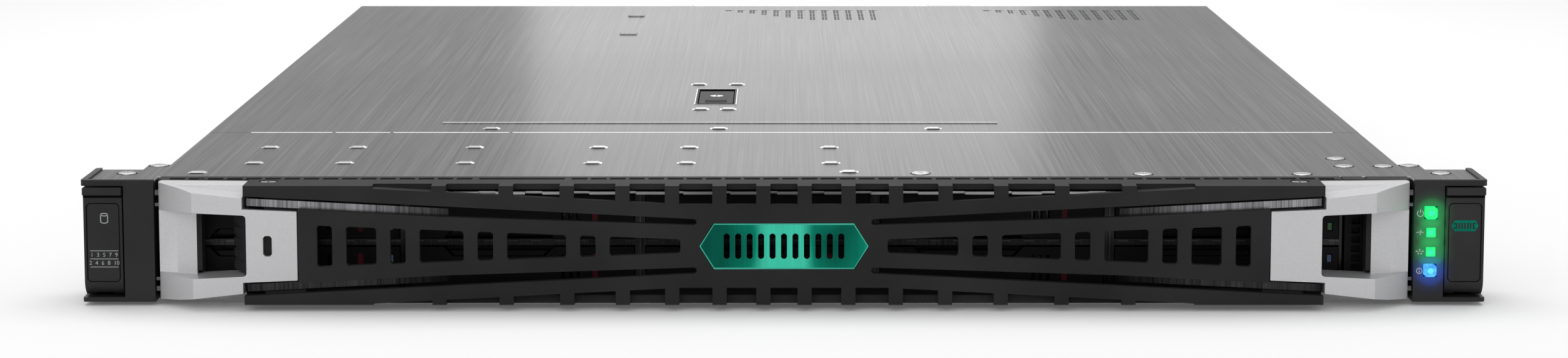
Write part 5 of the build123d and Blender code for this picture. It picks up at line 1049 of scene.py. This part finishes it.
def spread(tree, factor, low, high):
    """A number that goes from low to high as the factor goes from 0 to 1."""
    node = tree.nodes.new("ShaderNodeMapRange")
    node.inputs["To Min"].default_value = low
    node.inputs["To Max"].default_value = high
    tree.links.new(factor, node.inputs["Value"])
    return node.outputs["Result"]


def floor_material():
    """Pale matt floor, whiter where it is looked at, so that only the shadow shows."""
    material = bpy.data.materials.new("floor_white")
    material.use_nodes = True
    tree = material.node_tree
    tree.nodes.remove(tree.nodes["Principled BSDF"])
    matt = tree.nodes.new("ShaderNodeBsdfDiffuse")
    lift = tree.nodes.new("ShaderNodeEmission")
    both = tree.nodes.new("ShaderNodeAddShader")
    seen = seen_rays(tree)
    tree.links.new(spread(tree, seen, FLOOR_COLOUR, FLOOR_SEEN), matt.inputs["Color"])
    tree.links.new(spread(tree, seen, 0.0, FLOOR_LIFT), lift.inputs["Strength"])
    tree.links.new(matt.outputs["BSDF"], both.inputs[0])
    tree.links.new(lift.outputs["Emission"], both.inputs[1])
    tree.links.new(both.outputs["Shader"], tree.nodes["Material Output"].inputs["Surface"])
    return material


def add_floor():
    """One large floor that takes the object's shadow."""
    mesh = bpy.data.meshes.new("floor")
    corners = rectangle(FLOOR_SPAN, FLOOR_SPAN)
    mesh.from_pydata([(x, y, -FLOOR_GAP) for x, y in corners], [], [(0, 1, 2, 3)])
    mesh.materials.append(floor_material())
    link("floor", mesh)


def add_world():
    """White for what is looked at or mirrored, softer for what lights the object."""
    world = bpy.data.worlds.new("studio")
    bpy.context.scene.world = world
    world.use_nodes = True
    tree = world.node_tree
    background = tree.nodes["Background"]
    background.inputs["Color"].default_value = (1, 1, 1, 1)
    strength = spread(tree, seen_rays(tree), WORLD_LIGHT, 1.0)
    tree.links.new(strength, background.inputs["Strength"])


def area_light(name, place, target, size, watts):
    lamp = bpy.data.lights.new(name, "AREA")
    lamp.shape = "RECTANGLE"
    lamp.size, lamp.size_y = size
    lamp.energy = watts
    made = link(name, lamp)
    made.location = place
    made.visible_camera = False
    made.rotation_euler = (Vector(target) - Vector(place)).to_track_quat("-Z", "Y").to_euler()


def add_lights():
    middle = (0, 0, 0.02)
    area_light("light_top", (0, 0.35, 1.7), middle, (2.2, 1.4), 17)
    area_light("light_front", (-0.4, -2.2, 1.0), middle, (2.4, 1.0), 12)
    area_light("light_rear", (0.0, 1.0, 0.2), (0, 0.0, 0.04), (0.35, 0.2), 0.4)


def add_camera():
    camera = bpy.data.cameras.new("photo_camera")
    camera.sensor_fit = "HORIZONTAL"
    camera.sensor_width = SENSOR
    camera.lens = FOCAL_PIXELS / IMAGE_WIDTH * SENSOR
    camera.clip_start = 0.05
    camera.clip_end = 50
    holder = link("photo_camera", camera)
    holder.location = (0, EDGE_Y - CAMERA_BACK * MM, COVER_Z + CAMERA_UP * MM)
    holder.rotation_euler = (math.pi / 2 - CAMERA_DROP, 0, 0)
    bpy.context.scene.camera = holder


add_pieces(finish_nodes())
add_floor()
add_world()
add_lights()
add_camera()
bpy.context.scene.view_settings.view_transform = "Standard"
